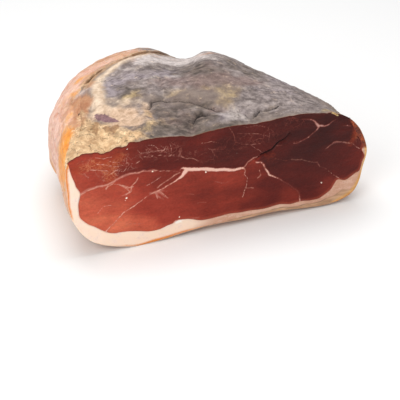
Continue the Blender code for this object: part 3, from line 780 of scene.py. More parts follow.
span = np.linalg.norm(
    skin_point(*from_disc(top_edge))[0] - skin_point(*from_disc(rim_line))[0], axis=-1)
stop = np.clip(1.0 - rim_gap / (span + 4.0), 0.0, 1.0)[:, None]
lean_line = top_edge + (rim_line - top_edge) * stop
top_disc = np.concatenate([between(top_edge, lean_line, TOP_ROWS, 1.25), lean_line[None]])
top_place, top_angle = from_disc(top_disc)
top_angle[0] = 0.0
top_base, top_normal, top_upper = skin(top_place, top_angle)
top_rim = -along(top_base[..., 0], top_base[..., 1], [tuple(p) for p in rim_plan[::6]])
lift, top_crack = top_relief(top_base, top_upper)
drop = RIM_STEP * smoothstep(70, 120, top_base[..., 1]) * (0.2 + 0.8 * lip)
drop = drop + 0.5 * lip * np.exp(-(top_rim / 1.2) ** 2)
top = top_base + top_normal * (lift - drop)[..., None]
top[0, :, 1] = 0.0
top[:, [0, -1]] = top[:1, [0, -1]]
print("top sheet", top.shape[:2], "relief from", lift.min().round(1), "to", lift.max().round(1), "mm")


# %% The lean's cut face and hidden side
FACE_ROWS = 84
HIDDEN_ROWS = 16
INSET = 7.0             # how deep the hidden side runs below the skin
BEHIND_CUT = 2.0        # and how far it stays behind the cut


def hollow_bowl(start, end, inset, steps):
    """Rows from one line to another through the inside: the skin between the rim and the foot of
    the cut moved inwards by inset, bent at both ends to meet the given lines."""
    t = np.linspace(0.0, 1.0, steps + 1)[:, None, None]
    place, angle = from_disc(rim_line + (foot_edge - rim_line) * t)
    base, normal, _ = skin(place, angle)
    inner = base - normal * inset
    inner = inner + (start - inner[:1]) * (1.0 - t) ** 5 + (end - inner[-1:]) * t**5
    inner[..., 1] = np.maximum(inner[..., 1], BEHIND_CUT)
    return inner[1:-1]


def cut_relief(px, pz, seam, crack):
    """How far a point of the cut lies behind its plane: gentle waves, tiny pits, seams a hair
    proud and a groove for the crack."""
    point = np.stack([px, 0.0 * px, pz], -1)
    deep = 0.35 + 0.35 * rough(point, 26.0, 2, 41) + 0.12 * rough(point * [0.4, 1, 1], 4.0, 2, 43)
    deep -= 0.18 * np.exp(-np.maximum(seam, 0.0) ** 2)
    deep += 2.0 * np.exp(-(np.maximum(crack, 0.0) / 0.7) ** 2)
    return deep


interface_line = np.stack([interface[:, 0], 0.0 * share, interface[:, 1]], -1)
t = np.linspace(0.0, 1.0, FACE_ROWS, endpoint=False)[:, None, None]
face = interface_line + (top[0] - interface_line) * t
fx, fz = face[..., 0], face[..., 2]
wobble = np.stack([fx, 0 * fx, fz], -1)
wx = fx + 0.7 * noise(wobble, 7.0, 45) + 0.35 * noise(wobble, 3.0, 46)
wz = fz + 0.7 * noise(wobble, 7.0, 47) + 0.35 * noise(wobble, 3.0, 48)
FACE_PATHS = {"seam": SEAMS, "soft_seam": SOFT_SEAMS, "thread": THREADS, "hair": HAIRS}
face_lines = {name: nearest(wx, wz, paths) for name, paths in FACE_PATHS.items()}
face_crack = along(wx, wz, CUT_CRACK)
face_crystal = np.min([np.hypot(fx - x, fz - z) - r for x, z, r in CRYSTALS], axis=0)
# The tone is the mean of five places, so that it also changes softly where no seam runs
BLUR = [(0, 0), (-2, 0), (2, 0), (0, -1.5), (0, 1.5)]
face_tone = np.mean([muscle_tone(wx + dx, wz + dz) for dx, dz in BLUR], axis=0)
from_top = np.linalg.norm(face - top[0], axis=-1)
from_fat = np.linalg.norm(face - interface_line, axis=-1)
settle = smoothstep(0.0, 2.0, from_top) * smoothstep(0.0, 2.0, from_fat)
face[..., 1] = cut_relief(fx, fz, face_lines["seam"], face_crack) * settle
face[:, [0, -1]] = top[0, [0, -1]]
hidden = hollow_bowl(top[-1], interface_line, INSET, HIDDEN_ROWS)
lean_points = np.concatenate([top, hidden, face])
print("lean", lean_points.shape[:2], "rows and columns")

# %% The lean as a mesh, with what its shaders read
HIDDEN_START, FACE_START = len(top), len(top) + len(hidden)
FAR = 50.0              # mm, more than any line or patch reaches


def lean_field(on_top, on_face, elsewhere):
    """One value for every point of the lean: its top rows, hidden rows and face rows.

    None on the top or the face stands for the value elsewhere. The two share their corners, so
    there a top with no values of its own takes the face's.
    """
    parts = ((top, on_top), (hidden, None), (face, on_face))
    rows = [np.zeros(part.shape[:2]) + (elsewhere if value is None else value)
            for part, value in parts]
    if on_top is None:
        rows[0][0, [0, -1]] = on_face[-1, [0, -1]]
    return np.concatenate(rows)


# Streaks of mould and skin follow the rim: mm along it and mm across, for the shaders
ALONG, ACROSS = 480.0, 160.0
flow_along = ALONG * share[None, :]
flow_across = ACROSS * np.linspace(0.0, 1.0, TOP_ROWS + 1)[:, None]
px, py = top_base[..., 0], top_base[..., 1]
lean_fields = {
    "rim": lean_field(top_rim, None, FAR),
    "rim_mark": lean_field(rim_mark, None, 0.0),
    # Painted shade in the gap between the lean and the lip
    "rim_crack": lean_field(lip * np.exp(-(top_rim / 0.9) ** 2), None, 1.0),
    "crack": lean_field(top_crack, face_crack, FAR),
    "from_top": lean_field(None, from_top, 0.0),
    "from_fat": lean_field(None, from_fat, 0.0),
    "crystal": lean_field(None, face_crystal, FAR),
    "from_cut": lean_field(py, None, 0.0),
    "bare": lean_field(along(px, py, BARE_SPOT), None, FAR),
    "umber": lean_field(nearest(px, py, UMBER), None, FAR),
    "ridge": lean_field(along(px, py, RIDGE), None, FAR),
    "along": lean_field(flow_along, None, 0.0),
    "across": lean_field(flow_across, None, 0.0),
    "tone": lean_field(None, face_tone, 0.4),
}
for name, distance in face_lines.items():
    lean_fields[name] = lean_field(None, distance, FAR)
for area, covered in top_areas(top_base).items():
    lean_fields[area] = lean_field(covered, None, 0.0)
for number, (area, spots) in enumerate(CUT_AREAS.items()):
    covered = amount(fx, fz, spots, wobble, CUT_SEED + SEED_STEP * number)
    lean_fields[area] = lean_field(None, covered, 0.0)
lean = pinched("Lean", lean_points, [(0, 0), (HIDDEN_START, 2), (FACE_START - 1, 1)], lean_fields)

# %% [markdown]
# ## The coat of fat and rind
#
# Fat and skin wrap the sides, the back and the underside. On the cut the coat shows as a pale band
# of changing thickness; outside it is waxy, wrinkled rind with blooms of mould. It is a bowl with
# thickness: down the outside, across the band on the cut, back up the inside, over the rim.

# %% The coat's four walks
OUTER_ROWS, BAND_ROWS, STRIP_ROWS = 196, 12, 6
LIP_HEIGHT, LIP_THICK = 0.7, 9.0
HIDDEN_GAP = 1.5        # between the coat's inside and the lean's hidden side


def rind_relief(point, upper, from_rim, from_cut):
    """Relief of the rind: long wrinkles on the sides, lumps of fat under it, fine puckers, and
    the lip by the crack raised a little."""
    px, py, pz = point[..., 0], point[..., 1], point[..., 2]
    side = smoothstep(0.0, 12.0, pz) * (1.0 - upper) * smoothstep(0.0, 25.0, py)
    height = 0.8 * (np.sin(py / 9 + 1.7 * np.sin(px / 23)) + np.sin(pz / 7 + py / 31)) * side
    height += broad_relief(point, upper)
    calm = smoothstep(0.0, 14.0, from_cut)
    height += (0.9 * rough(point, 26.0, 2, 201) + 0.45 * rough(point, 8.0, 2, 205)) * (0.3 + 0.7 * calm)
    pucker = np.abs(rough(point * [1.0, 0.6, 1.0], 12.0, 2, 209))
    height -= 1.1 * np.exp(-(pucker / 0.07) ** 2) * smoothstep(4.0, 16.0, pz) * calm
    height += LIP_HEIGHT * lip * np.exp(-(from_rim / 3.5) ** 2)
    return height


t = np.linspace(0.0, 1.0, OUTER_ROWS + 1)[:, None, None]
outer_disc = rim_line + (foot_edge - rim_line) * t
outer_place, outer_angle = from_disc(outer_disc)
outer_angle[-1] = 0.0
outer_base, outer_normal, outer_upper = skin(outer_place, outer_angle)
lengths = np.linalg.norm(np.diff(outer_base, axis=0), axis=-1)
from_rim = np.concatenate([np.zeros((1, COLUMNS + 1)), np.cumsum(lengths, axis=0)])
from_cut = outer_base[..., 1]
rise = rind_relief(outer_base, outer_upper, from_rim, from_cut)
outer = outer_base + outer_normal * rise[..., None]
outer[-1, :, 1] = 0.0
# Just behind the cut the foot curls up a little on the right: x and how far, in mm
FOOT_LIFT = [(-75, 0.0), (-52, 1.5), (-35, 3.8), (-17, 5.4), (0, 5.4), (18, 4.6), (36, 5.6), (54, 5.6),
             (72, 3.4), (90, 2.0), (128, 0.0)]
lifted = np.interp(outer[..., 0], *np.transpose(FOOT_LIFT))
lifted = lifted * (1.0 - smoothstep(0, 26, from_cut)) * (1.0 - smoothstep(0, 24, outer[..., 2]))
outer[..., 2] = np.maximum(outer[..., 2], 0.0) + lifted
outer[:, [0, -1]] = top[0, [0, -1]]

t = np.linspace(0.0, 1.0, BAND_ROWS + 1)[:, None, None]
band = outer[-1] + (interface_line - outer[-1]) * t
band_depth = np.linalg.norm(band - outer[-1], axis=-1)
band_thick = np.linalg.norm(interface_line - outer[-1], axis=-1)
bx, bz = band[..., 0], band[..., 2]
flat_point = np.stack([bx, 0 * bx, bz], -1)
# The greyer hide below the fat on the right, and the end where the lean dried right to the edge
hide_share = smoothstep(-30, 60, bx) * (1.0 - smoothstep(112, 132, bx)) * (bz < 40)
band_hide = hide_share * (0.48 + 0.12 * noise(flat_point, 14.0, 223)) * band_thick - band_depth
dried_end = smoothstep(102, 108, bx) * smoothstep(46, 58, bz)
# How much the fat darkens to pinkish tan, partly its own colour and partly painted shade: x and share
TAN_AND_SHADE = [(-70, 0.0), (-40, 0.08), (-28, 0.15), (-15, 0.6), (0, 0.85), (20, 0.8), (45, 0.6), (70, 0.75),
         (90, 0.92), (120, 0.85)]
# How wide the orange rind shows at the edge of the cut, in mm: along the left foot, up the left
# side and round the right end
foot_line = 2.6 * np.exp(-(((bx + 56.0) / 32.0) ** 2)) * (bz < 30)
side_line = 1.8 * smoothstep(-95, -125, bx) * smoothstep(30, 50, bz)
right_line = 3.2 * smoothstep(98, 114, bx) * (1.0 - 0.45 * smoothstep(14, 34, bz))
rind_line = np.maximum(foot_line + side_line, right_line)
swell = smoothstep(0.0, 2.5, band_depth) * smoothstep(0.0, 1.5, band_thick - band_depth)
band[..., 1] = (0.25 + 0.25 * rough(flat_point, 12.0, 2, 221)) * swell

lip_inside = skin(*from_disc(rim_line))
inner_rim = lip_inside[0] - lip_inside[1] * LIP_THICK * smoothstep(0.0, 16.0, rim_y)[:, None]
inner_rim[:, 1] = np.maximum(inner_rim[:, 1], 0.7 * rim_y)
inner_rim[[0, -1]] = top[0, [0, -1]]
bowl = hollow_bowl(inner_rim, interface_line, INSET - HIDDEN_GAP, HIDDEN_ROWS)[::-1]
strip = between(inner_rim, outer[0], STRIP_ROWS)
coat_points = np.concatenate([outer, band[1:], bowl, strip])
BAND_START, BOWL_START = len(outer), len(outer) + BAND_ROWS
STRIP_START = BOWL_START + len(bowl)
print("coat", coat_points.shape[:2], "rows and columns; relief", rise.min().round(1), rise.max().round(1))


# %% The coat as a mesh
def coat_field(on_outer, on_band=0.0, inside=0.0):
    """One value for every point of the coat: outside, band on the cut, inside, lip. The two corners
    take the band's value where it is above 0."""
    on_outer, on_band = np.zeros(outer.shape[:2]) + on_outer, np.zeros(band.shape[:2]) + on_band
    edge = np.repeat(on_outer[:1], STRIP_ROWS, axis=0)
    corners = on_band[0, [0, -1]]
    on_outer[0, [0, -1]] = np.where(corners > 0, corners, on_outer[0, [0, -1]])
    return np.concatenate([on_outer, on_band[1:], np.full(bowl.shape[:2], inside), edge])


# Areas of the rind: x, distance behind the cut, height, reach and strength
RIND_AREAS = {
    # waxy orange fat that shines through
    "amber": [
        (-129, 20, 88, 18, 1.3), (-136, 14, 72, 14, 1.0), (-126, 40, 90, 13, 0.5),
        (-108, 72, 96, 10, 0.25), (-92, 110, 97, 11, 0.3), (-78, 128, 102, 11, 0.3),
        (62, 152, 56, 30, 0.7), (-62, 172, 52, 26, 0.6), (122, 56, 34, 24, 0.9), (20, 192, 40, 24, 0.7),
        (-116, 96, 26, 20, 0.8), (-34, 188, 34, 20, 0.8), (-132, 60, 22, 16, 0.6), (84, 126, 30, 18, 0.6),
    ],
    # thin brown skin
    "brown": [
        (-101, 64, 99, 11, 0.9), (-99, 86, 98, 12, 0.7), (-110, 62, 96, 9, 0.5), (90, 110, 70, 20, 0.5),
        (-46, 170, 98, 10, 0.5), (-22, 176, 95, 12, 0.4), (0, 178, 90, 12, 0.5), (45, 136, 98, 10, 0.9),
        (-100, 130, 40, 18, 0.4), (118, 20, 78, 14, 0.5), (-10, 196, 60, 16, 0.4),
    ],
    # pale pink skin
    "pale": [
        (-128, 78, 55, 30, 1.0), (-122, 104, 70, 26, 0.9), (-104, 130, 72, 24, 0.7),
        (-80, 150, 86, 16, 0.5), (-134, 40, 46, 24, 0.8), (0, 186, 24, 36, 0.7), (100, 90, 24, 26, 0.6),
        (-60, 150, 10, 40, 0.6), (-94, 116, 94, 16, 0.9), (-62, 140, 104, 14, 0.9),
        (-24, 164, 102, 12, 0.8),
    ],
    # bloom of mould on the hidden sides
    "bloom": [
        (84, 118, 72, 24, 0.9), (128, 40, 62, 20, 0.7), (34, 180, 64, 22, 0.8), (-18, 190, 70, 16, 0.5),
        (-76, 160, 24, 22, 0.8), (66, 148, 26, 20, 0.8), (108, 86, 58, 18, 0.7), (-108, 122, 40, 18, 0.6),
        (-20, 180, 18, 26, 0.8), (-136, 30, 30, 12, 0.4), (110, 80, 12, 24, 0.8),
    ],
}


RIND_SEED, RIND_SEED_STEP = 230, 14


def amount_around(point, areas, seed):
    """The same as amount, with round spots in space, for sides that the view from above hides."""
    move = 9.0 * np.stack([rough(point, 24.0, 3, seed + k) for k in (0, 4, 8)], -1)
    total = sum(s * np.exp(-(np.linalg.norm(point + move - [x, y, z], axis=-1) / reach) ** 2)
                for x, y, z, reach, s in areas)
    return frayed(total, point, seed + 12)


coat_fields = {
    "rim": coat_field(from_rim, FAR),
    "rim_mark": coat_field(rim_mark),
    # Painted shade in the gap beside the lip
    "rim_crack": coat_field(0.4 * lip * np.exp(-(from_rim / 0.5) ** 2), inside=1.0),
    "over": coat_field(smoothstep(-40.0, 10.0, rim_x)),
    "along": coat_field(flow_along),
    "across": coat_field(ACROSS + from_rim),
    "from_cut": coat_field(from_cut),
    "in_band": coat_field(0.0, band_depth),
    "to_lean": coat_field(FAR, band_thick - band_depth),
    "glint": coat_field(0.0, spot(bx, bz, -41, 15.5, 5.0, 2.2)),
    "flush": coat_field(0.0, np.interp(bx, *np.transpose(TAN_AND_SHADE))),
    "line": coat_field(0.0, rind_line),
    "hide": coat_field(0.0, band_hide),
    "dried": coat_field(0.0, dried_end),
}
for name in ("bare", "umber", "ridge"):
    coat_fields[name] = coat_field(FAR, FAR, FAR)
for area, covered in top_areas(outer_base).items():
    coat_fields[area] = coat_field(covered * outer_upper)
for number, (area, spots) in enumerate(RIND_AREAS.items()):
    covered = amount_around(outer_base, spots, RIND_SEED + RIND_SEED_STEP * number)
    coat_fields["rind_" + area] = coat_field(covered)
slots = [(0, 0), (BAND_START - 1, 1), (BOWL_START, 2), (STRIP_START - 1, 0)]
coat = pinched("Fat_and_rind", coat_points, slots, coat_fields)

# %% [markdown]
# ## Writing shaders as sums
#
# A shader is arithmetic on values that change over the surface. The class below wraps a socket, so
# that a sum or product of two wires adds the Math node and gives its answer. Colours are mixed
# by Mix nodes, because a Math node would turn them grey.

# %% The wire class
class Wire:
    """One output of a node. Arithmetic on wires adds Math nodes and returns the answer's wire."""

    def __init__(self, tree, socket):
        self.tree, self.socket = tree, socket

    def node(self, kind, settings, sockets, output=0):
        """A node of a kind in the same tree, its settings set first, then its sockets."""
        made = self.tree.nodes.new(kind)
        for name, value in settings.items():
            if name == "stops":
                ramp = made.color_ramp.elements
                while len(ramp) < len(value):
                    ramp.new(0.5)
                for element, (position, colour) in zip(ramp, value):
                    element.position, element.color = position, colour
            else:
                setattr(made, name, value)
        for key, value in sockets.items():
            if isinstance(value, Wire):
                self.tree.links.new(value.socket, made.inputs[key])
            else:
                made.inputs[key].default_value = value
        return Wire(self.tree, made.outputs[output])

    def math(self, operation, first, second=0.0):
        return self.node("ShaderNodeMath", {"operation": operation}, {0: first, 1: second})

    def __add__(self, other):
        return self.math("ADD", self, other)

    def __sub__(self, other):
        return self.math("SUBTRACT", self, other)

    def __rsub__(self, other):
        return self.math("SUBTRACT", other, self)

    def __mul__(self, other):
        return self.math("MULTIPLY", self, other)

    __radd__ = __add__

    def size(self):
        """The value without its sign."""
        return self.math("ABSOLUTE", self)

    def above(self, other):
        """The larger of two values."""
        return self.math("MAXIMUM", self, other)

    def rise(self, low, high):
        """0 at low, 1 at high, S-shaped between; a low above its high makes it fall."""
        return self.node("ShaderNodeMapRange", {"interpolation_type": "SMOOTHSTEP"},
                         {"Value": self, "From Min": low, "From Max": high})


def paint(code):
    """A linear colour from the six hexadecimal digits of an ordinary screen colour."""
    srgb = np.array([int(code[k : k + 2], 16) / 255 for k in (0, 2, 4)])
    linear = np.where(srgb < 0.04045, srgb / 12.92, ((srgb + 0.055) / 1.055) ** 2.4)
    return (*linear, 1.0)


print("paint turns e8c69c into", np.round(paint("e8c69c"), 3))


# %% The start of every finish
class Finish:
    """A material in the making: where its points are in mm, and the nodes it often needs."""

    def __init__(self, name):
        self.material = bpy.data.materials.new(name)
        self.material.use_nodes = True
        self.tree = self.material.node_tree
        self.shader = self.tree.nodes["Principled BSDF"]
        self.node = Wire(self.tree, None).node
        here = self.node("ShaderNodeTexCoord", {}, {}, "Object")
        self.place = self.vector("MULTIPLY", here, (1.0 / METRES,) * 3)

    def vector(self, operation, first, second):
        return self.node("ShaderNodeVectorMath", {"operation": operation}, {0: first, 1: second})

    def field(self, name):
        """A value that the mesh carries at its points."""
        return self.node("ShaderNodeAttribute", {"attribute_name": name}, {}, "Fac")

    def flow(self):
        """The place as mm along the rim and mm across, for streaks that follow it."""
        return self.node("ShaderNodeCombineXYZ", {}, {0: self.field("along"), 1: self.field("across")})

    def noise(self, size, detail=3.0, stretch=None, shift=0.0, place=None):
        """Noise from about -1 to 1 with bumps about size mm across. A stretch below 1 draws them out
        along its axis, and a shift moves the pattern, so that no two noises match."""
        place = place or self.place
        if stretch:
            place = self.vector("MULTIPLY", place, stretch)
        place = self.vector("ADD", place, (shift,) * 3)
        wave = self.node("ShaderNodeTexNoise", {"noise_dimensions": "3D"}, {
            "Vector": place, "Scale": 1.0 / size, "Detail": detail})
        return (wave - 0.5) * 3.0

    def cells(self, size, bend, stretch=(1, 1, 1), shift=0.0):
        """Distance in mm to the walls of cells about size mm across, made crooked by bend."""
        wave = self.node("ShaderNodeTexNoise", {}, {
            "Vector": self.place, "Scale": 1.3 / size, "Detail": 2.0}, "Color")
        bent = self.node("ShaderNodeVectorMath", {"operation": "MULTIPLY_ADD"}, {
            0: wave, 1: (bend * 2 * size,) * 3, 2: self.place})
        bent = self.vector("ADD", self.vector("MULTIPLY", bent, stretch), (shift,) * 3)
        return self.node("ShaderNodeTexVoronoi", {"feature": "DISTANCE_TO_EDGE"}, {
            "Vector": bent, "Scale": 1.0 / size}) * size

    def mix(self, factor, first, second):
        """A colour that goes from the first to the second as the factor goes from 0 to 1. Each is a
        wire, or the six digits that paint takes."""
        first, second = (paint(c) if isinstance(c, str) else c for c in (first, second))
        return self.node("ShaderNodeMix", {"data_type": "RGBA"}, {0: factor, 6: first, 7: second}, 2)

    def shaded(self, colour, factor):
        """A colour made lighter or darker by a factor."""
        grey = self.node("ShaderNodeCombineXYZ", {}, {0: factor, 1: factor, 2: factor})
        return self.vector("MULTIPLY", colour, grey)

    def done(self, colour, roughness, height, strength, settings):
        """Feeds the shader: colour, roughness and a bump from a height in mm."""
        bump = self.node("ShaderNodeBump", {}, {
            "Height": height, "Strength": strength, "Distance": METRES})
        for wire, name in ((colour, "Base Color"), (roughness, "Roughness"), (bump, "Normal")):
            self.tree.links.new(wire.socket, self.shader.inputs[name])
        for name, value in settings.items():
            self.shader.inputs[name].default_value = value
        print("finish", self.material.name, "with", len(self.tree.nodes), "nodes")
        return self.material


def translucent(specular, weight, radius, scale):
    """Settings of the shader for meat and fat, into which light sinks: how strongly, how far each
    colour of it goes, and the scale of that in metres."""
    return {"Specular IOR Level": specular, "Subsurface Weight": weight,
            "Subsurface Radius": radius, "Subsurface Scale": scale}


# %% [markdown]
# ## The cut lean
#
# Freshly cut meat is moist and a little glossy, in deep reds that change from muscle to muscle,
# with pale seams, forked threads and a net of marbling. A picture laid over the face would blur
# close up. So the tone of each muscle picks a red from a ramp, and the distances that the mesh
# carries, frayed by noise, are cut off sharply into lines.

# %% Marbling and seams
def marbling(f, colour, tone, fray, grain, cloud):
    """Lays three nets of fat and the hair-thin lines over the meat, the finest net at its orange
    ends alone. Returns the colour and the two wider nets."""
    marbled = (f.field("marbled") + cloud * 0.3).rise(0.2, 1.0)
    lit = f.field("orange").rise(0.1, 0.6)
    vein = f.mix(lit, f.mix(tone.rise(0.6, 0.95), "c88c7c", "8a4236"), "c97c56")
    fine_net = (f.cells(2.4, 0.8, (0.5, 1, 1), 70.0) + grain * 0.1).rise(0.3, 0.0)
    colour = f.mix(fine_net * marbled * lit * 0.32, colour, vein)
    net = (f.cells(4.2, 0.8, (0.5, 1, 1)) + grain * 0.12).rise(0.4, 0.05)
    wide_net = (f.cells(9.0, 0.9, (0.6, 1, 1), 40.0) + grain * 0.15).rise(0.45, 0.05)
    broken = f.noise(6.0, 3.0, shift=55.0).rise(-0.4, 0.4)
    nets = (net * broken * (lit * 0.6 + 0.4) + wide_net * 0.7).rise(0.0, 1.0) * marbled
    colour = f.mix(nets * (0.7 - lit * 0.2), colour, vein)
    hair = (f.field("hair") + fray * 0.25 + grain * 0.15).rise(0.5, 0.05)
    hair_colour = f.mix(tone.rise(0.6, 0.95), "d8a090", vein)
    return f.mix(hair * tone.rise(1.15, 0.7) * 0.75, colour, hair_colour), nets


def seam_lines(f, colour, tone, fray, grain):
    """Lays dull seams, threads and pale seams over the meat, duller where it is dark. Returns the
    colour and the frayed distance to the nearest pale seam."""
    soft_seam = (f.field("soft_seam") + fray * 0.6 + grain * 0.2).rise(0.6, -0.6)
    colour = f.mix(soft_seam * 0.6, colour, f.mix(tone.rise(0.7, 1.0), "bd7668", "85504b"))
    thread = (f.field("thread") + fray * 0.3 + grain * 0.1).rise(0.75, 0.1)
    thread = thread * f.noise(5.0, 2.0, shift=3.0).rise(-1.0, 0.2)
    colour = f.mix(thread * tone.rise(1.15, 0.5), colour, "cc8c7a")
    near_fat = (f.field("from_fat") + fray * 0.9).rise(3.5, 0.0)
    colour = f.mix(near_fat * 0.4, colour, "b65842")
    seam = f.field("seam") + fray * 0.35 + grain * 0.15
    colour = f.mix(seam.rise(0.9, 0.0) * 0.25, colour, "a0544a")
    pale = (seam + f.noise(1.6, 3.0, shift=9.0) * 0.4).rise(0.15, -0.9)
    fat = f.mix(pale, f.mix(tone.rise(0.4, 0.8), "d28c78", "b06c5c"), "e8bcac")
    fat = f.mix(tone.rise(0.8, 1.0) * 0.7, fat, "98625c")
    return f.mix(seam.rise(0.2, -0.3), colour, fat), seam


# %% Cut lean
MEAT_RAMP = [(0.0, "cf6c4e"), (0.12, "bd5840"), (0.35, "9c3a2b"), (0.57, "7f2c20"), (0.75, "5e1d17"),
             (1.0, "3b1412")]


def cut_lean():
    f = Finish("cut_lean")
    fray = f.noise(2.2, 4.0)
    grain = f.noise(1.0, 3.0, (0.5, 1, 1))
    fibre = f.noise(2.6, 4.0, (0.3, 1, 1), 83.0)
    cloud = f.noise(13.0, 3.0, (0.6, 1, 1), 31.0)
    band = f.noise(9.0, 3.0, (0.18, 1, 1), 23.0)
    tone = f.field("tone") + cloud * 0.07 + band * 0.06 + fibre * 0.03
    stops = [(position, paint(code)) for position, code in MEAT_RAMP]
    colour = f.node("ShaderNodeValToRGB", {"stops": stops}, {"Fac": tone})
    orange = (f.field("orange") + fray * 0.2).rise(0.1, 1.0)
    colour = f.mix(orange * 0.6, colour, "9c3c1e")
    colour = f.shaded(colour, 1.0 + grain * 0.16 + fray * 0.14 + fibre * 0.20)
    colour, nets = marbling(f, colour, tone, fray, grain, cloud)
    colour, seam = seam_lines(f, colour, tone, fray, grain)

    crystal = (f.field("crystal") + grain * 0.3 + fray * 0.3).rise(0.1, -0.3)
    colour = f.mix(crystal, colour, "fff0e0")
    # Painted shade in the crack
    crack = (f.field("crack") + fray * 0.2).rise(0.5, 0.0)
    colour = f.mix(crack * 0.9, colour, "1e0a09")
    dry = (f.field("from_top") + fray * 0.5).rise(1.9, 0.3)
    colour = f.mix(dry * 0.6, colour, "371914")
    golden = (f.field("golden") + fray * 0.3).rise(0.4, 0.8)
    gold = f.mix((grain * 0.6 + 0.5).rise(0.0, 1.0), "a87a42", "eed49c")
    colour = f.mix(golden * 0.9, colour, gold)

    wet = f.noise(6.0, 3.0, shift=91.0)
    roughness = 0.45 + wet * 0.08 + seam.rise(0.2, -0.3) * 0.08 + dry * 0.15
    height = grain * 0.12 + fray * 0.10 + fibre * 0.15 + seam.rise(0.5, -0.5) * 0.12 - nets * 0.05
    return f.done(colour, roughness, height, 0.7, translucent(0.14, 0.08, (1.0, 0.25, 0.12), 0.002))


# %% [markdown]
# ## The dried top
#
# Months of drying leave the open lean matt and brown under grey mould, with crumbs of beige salt
# and fat at the left end. Each patch is one mix over what lies below it, and noise frays its
# border. The rind beside the rim carries the same patches, so both finishes build on one class,
# and the patches run across the rim without a break.

# %% What the dried top and the rind share
class Weathered(Finish):
    """A finish of the dried outside. Its noises are streaks and wider sweeps that follow the rim,
    as much as streaky says, and flecks, clouds and blots. Strength is how far patches show."""

    def __init__(self, name, streaky):
        super().__init__(name)
        flow = self.flow()
        self.streak = self.noise(3.8, 5.0, (0.35, 1, 1), 5.0, flow) * streaky
        self.sweep = self.noise(12.8, 3.0, (0.25, 1, 1), 43.0, flow) * streaky
        self.fleck = self.noise(1.7, 3.0, shift=17.0)
        self.cloud = self.noise(7.0, 4.0, shift=29.0)
        self.blot = self.noise(4.5, 4.0, shift=37.0)
        self.varied = (self.streak * 0.3 + self.blot * 0.35 + self.fleck * 0.15 + 0.5).rise(0.0, 1.0)
        self.strength = 1.0

    def patch(self, name, low, high):
        """How far one of the top's areas covers, from 0 at low to 1 at high, with a frayed border."""
        amount_here = self.field(name) * self.strength + self.cloud * 0.2 + self.streak * 0.1
        return (amount_here + self.fleck * 0.08).rise(low, high)


def patches(f, colour, grown):
    """Lays the top's areas over a colour; grown is where mould covers all of it. Returns the colour
    and the mould's share."""
    mould = f.patch("mould", 0.1, 0.8).above(grown)
    grey = (f.streak * 0.28 + f.sweep * 0.25 + f.blot * 0.25 + f.fleck * 0.1 + 0.45).rise(0.0, 1.0)
    colour = f.mix(mould, colour, f.mix(grey, "5c514f", "aa9d99"))
    lilac = f.mix((f.streak * 0.28 + f.blot * 0.3 + 0.5).rise(0.1, 0.9), "7b6f75", "aea2a5")
    colour = f.mix(f.patch("lilac", 0.1, 1.0) * 0.8, colour, lilac)
    # Darker grey mould, partly painted shade in the hollows
    dim = f.mix((f.blot * 0.4 + f.streak * 0.3 + 0.45).rise(0.1, 0.9), "453c37", "75675d")
    colour = f.mix(f.patch("dim", 0.0, 0.7) * 0.85, colour, dim)
    colour = f.mix(f.patch("brown", 0.1, 0.9) * 0.7, colour, f.mix(f.varied, "604a46", "8f7872"))
    # Painted highlights in a pale whitish grey
    colour = f.mix(f.patch("white", 0.2, 0.9) * 0.7, colour, "b9aea8")
    # Painted highlight: a pale band along the rim at the back
    colour = f.mix(f.patch("frost", 0.1, 0.9) * 0.85, colour, f.mix(f.varied, "b0a4a0", "dcd2cf"))
    colour = f.mix(f.patch("yellow", 0.2, 1.1) * 0.7, colour, f.mix(f.varied, "8e7654", "c4aa7c"))
    tan = f.mix((f.cloud * 0.5 + 0.5).rise(0.1, 0.9), "a66f4e", "c08e6a")
    colour = f.mix(f.patch("tan", 0.1, 1.0) * 0.9, colour, tan)
    cream = f.mix((f.cloud * 0.4 + f.blot * 0.3 + 0.55).rise(0.1, 0.9), "b89c82", "e8d2ba")
    near_cut = f.field("from_cut").rise(64.0, 48.0)
    cream = f.mix(near_cut * 0.85, cream, f.mix(f.varied, "ab8a6e", "d6b69c"))
    ridge = (f.field("ridge") + f.cloud * 2.0 + f.streak * 1.5).rise(4.5, -2.5)
    return f.mix(f.patch("cream", 0.0, 0.85).above(ridge) * 0.95, colour, cream), mould


def crumbs(f, colour):
    """Lays crumbly salt and fat over a colour, crossed by small and large dark cracks. Returns the
    colour, the crumbs' share and the large cracks in them."""
    crumb = (f.field("crumb") * f.strength + f.cloud * 0.3 + f.blot * 0.25 + f.fleck * 0.15).rise(0.1, 0.9)
    beige = f.mix((f.cloud * 0.6 + f.blot * 0.2 + 0.6).rise(0.0, 1.0), "a47e5a", "e8c69c")
    olive = (f.noise(9.0, 4.0, shift=87.0) + f.blot * 0.3).rise(0.0, 0.7)
    beige = f.mix(olive * 0.6, beige, "8f7b58")
    small = (f.cells(7.0, 1.0, shift=3.0) + f.fleck * 0.3).rise(0.9, 0.0) * f.cloud.rise(-0.3, 0.6)
    beige = f.mix(small * 0.4, beige, "806848")
    large = (f.cells(14.0, 1.2, shift=19.0) + f.fleck * 0.4).rise(0.9, 0.0) * f.blot.rise(-0.4, 0.4)
    beige = f.mix(large * 0.7, beige, "5d4a34")
    beige = f.mix((f.cloud * 0.5 + f.blot * 0.4).rise(0.15, 0.7) * 0.45, beige, "f6e0c2")
    return f.mix(crumb, colour, beige), crumb, large * crumb


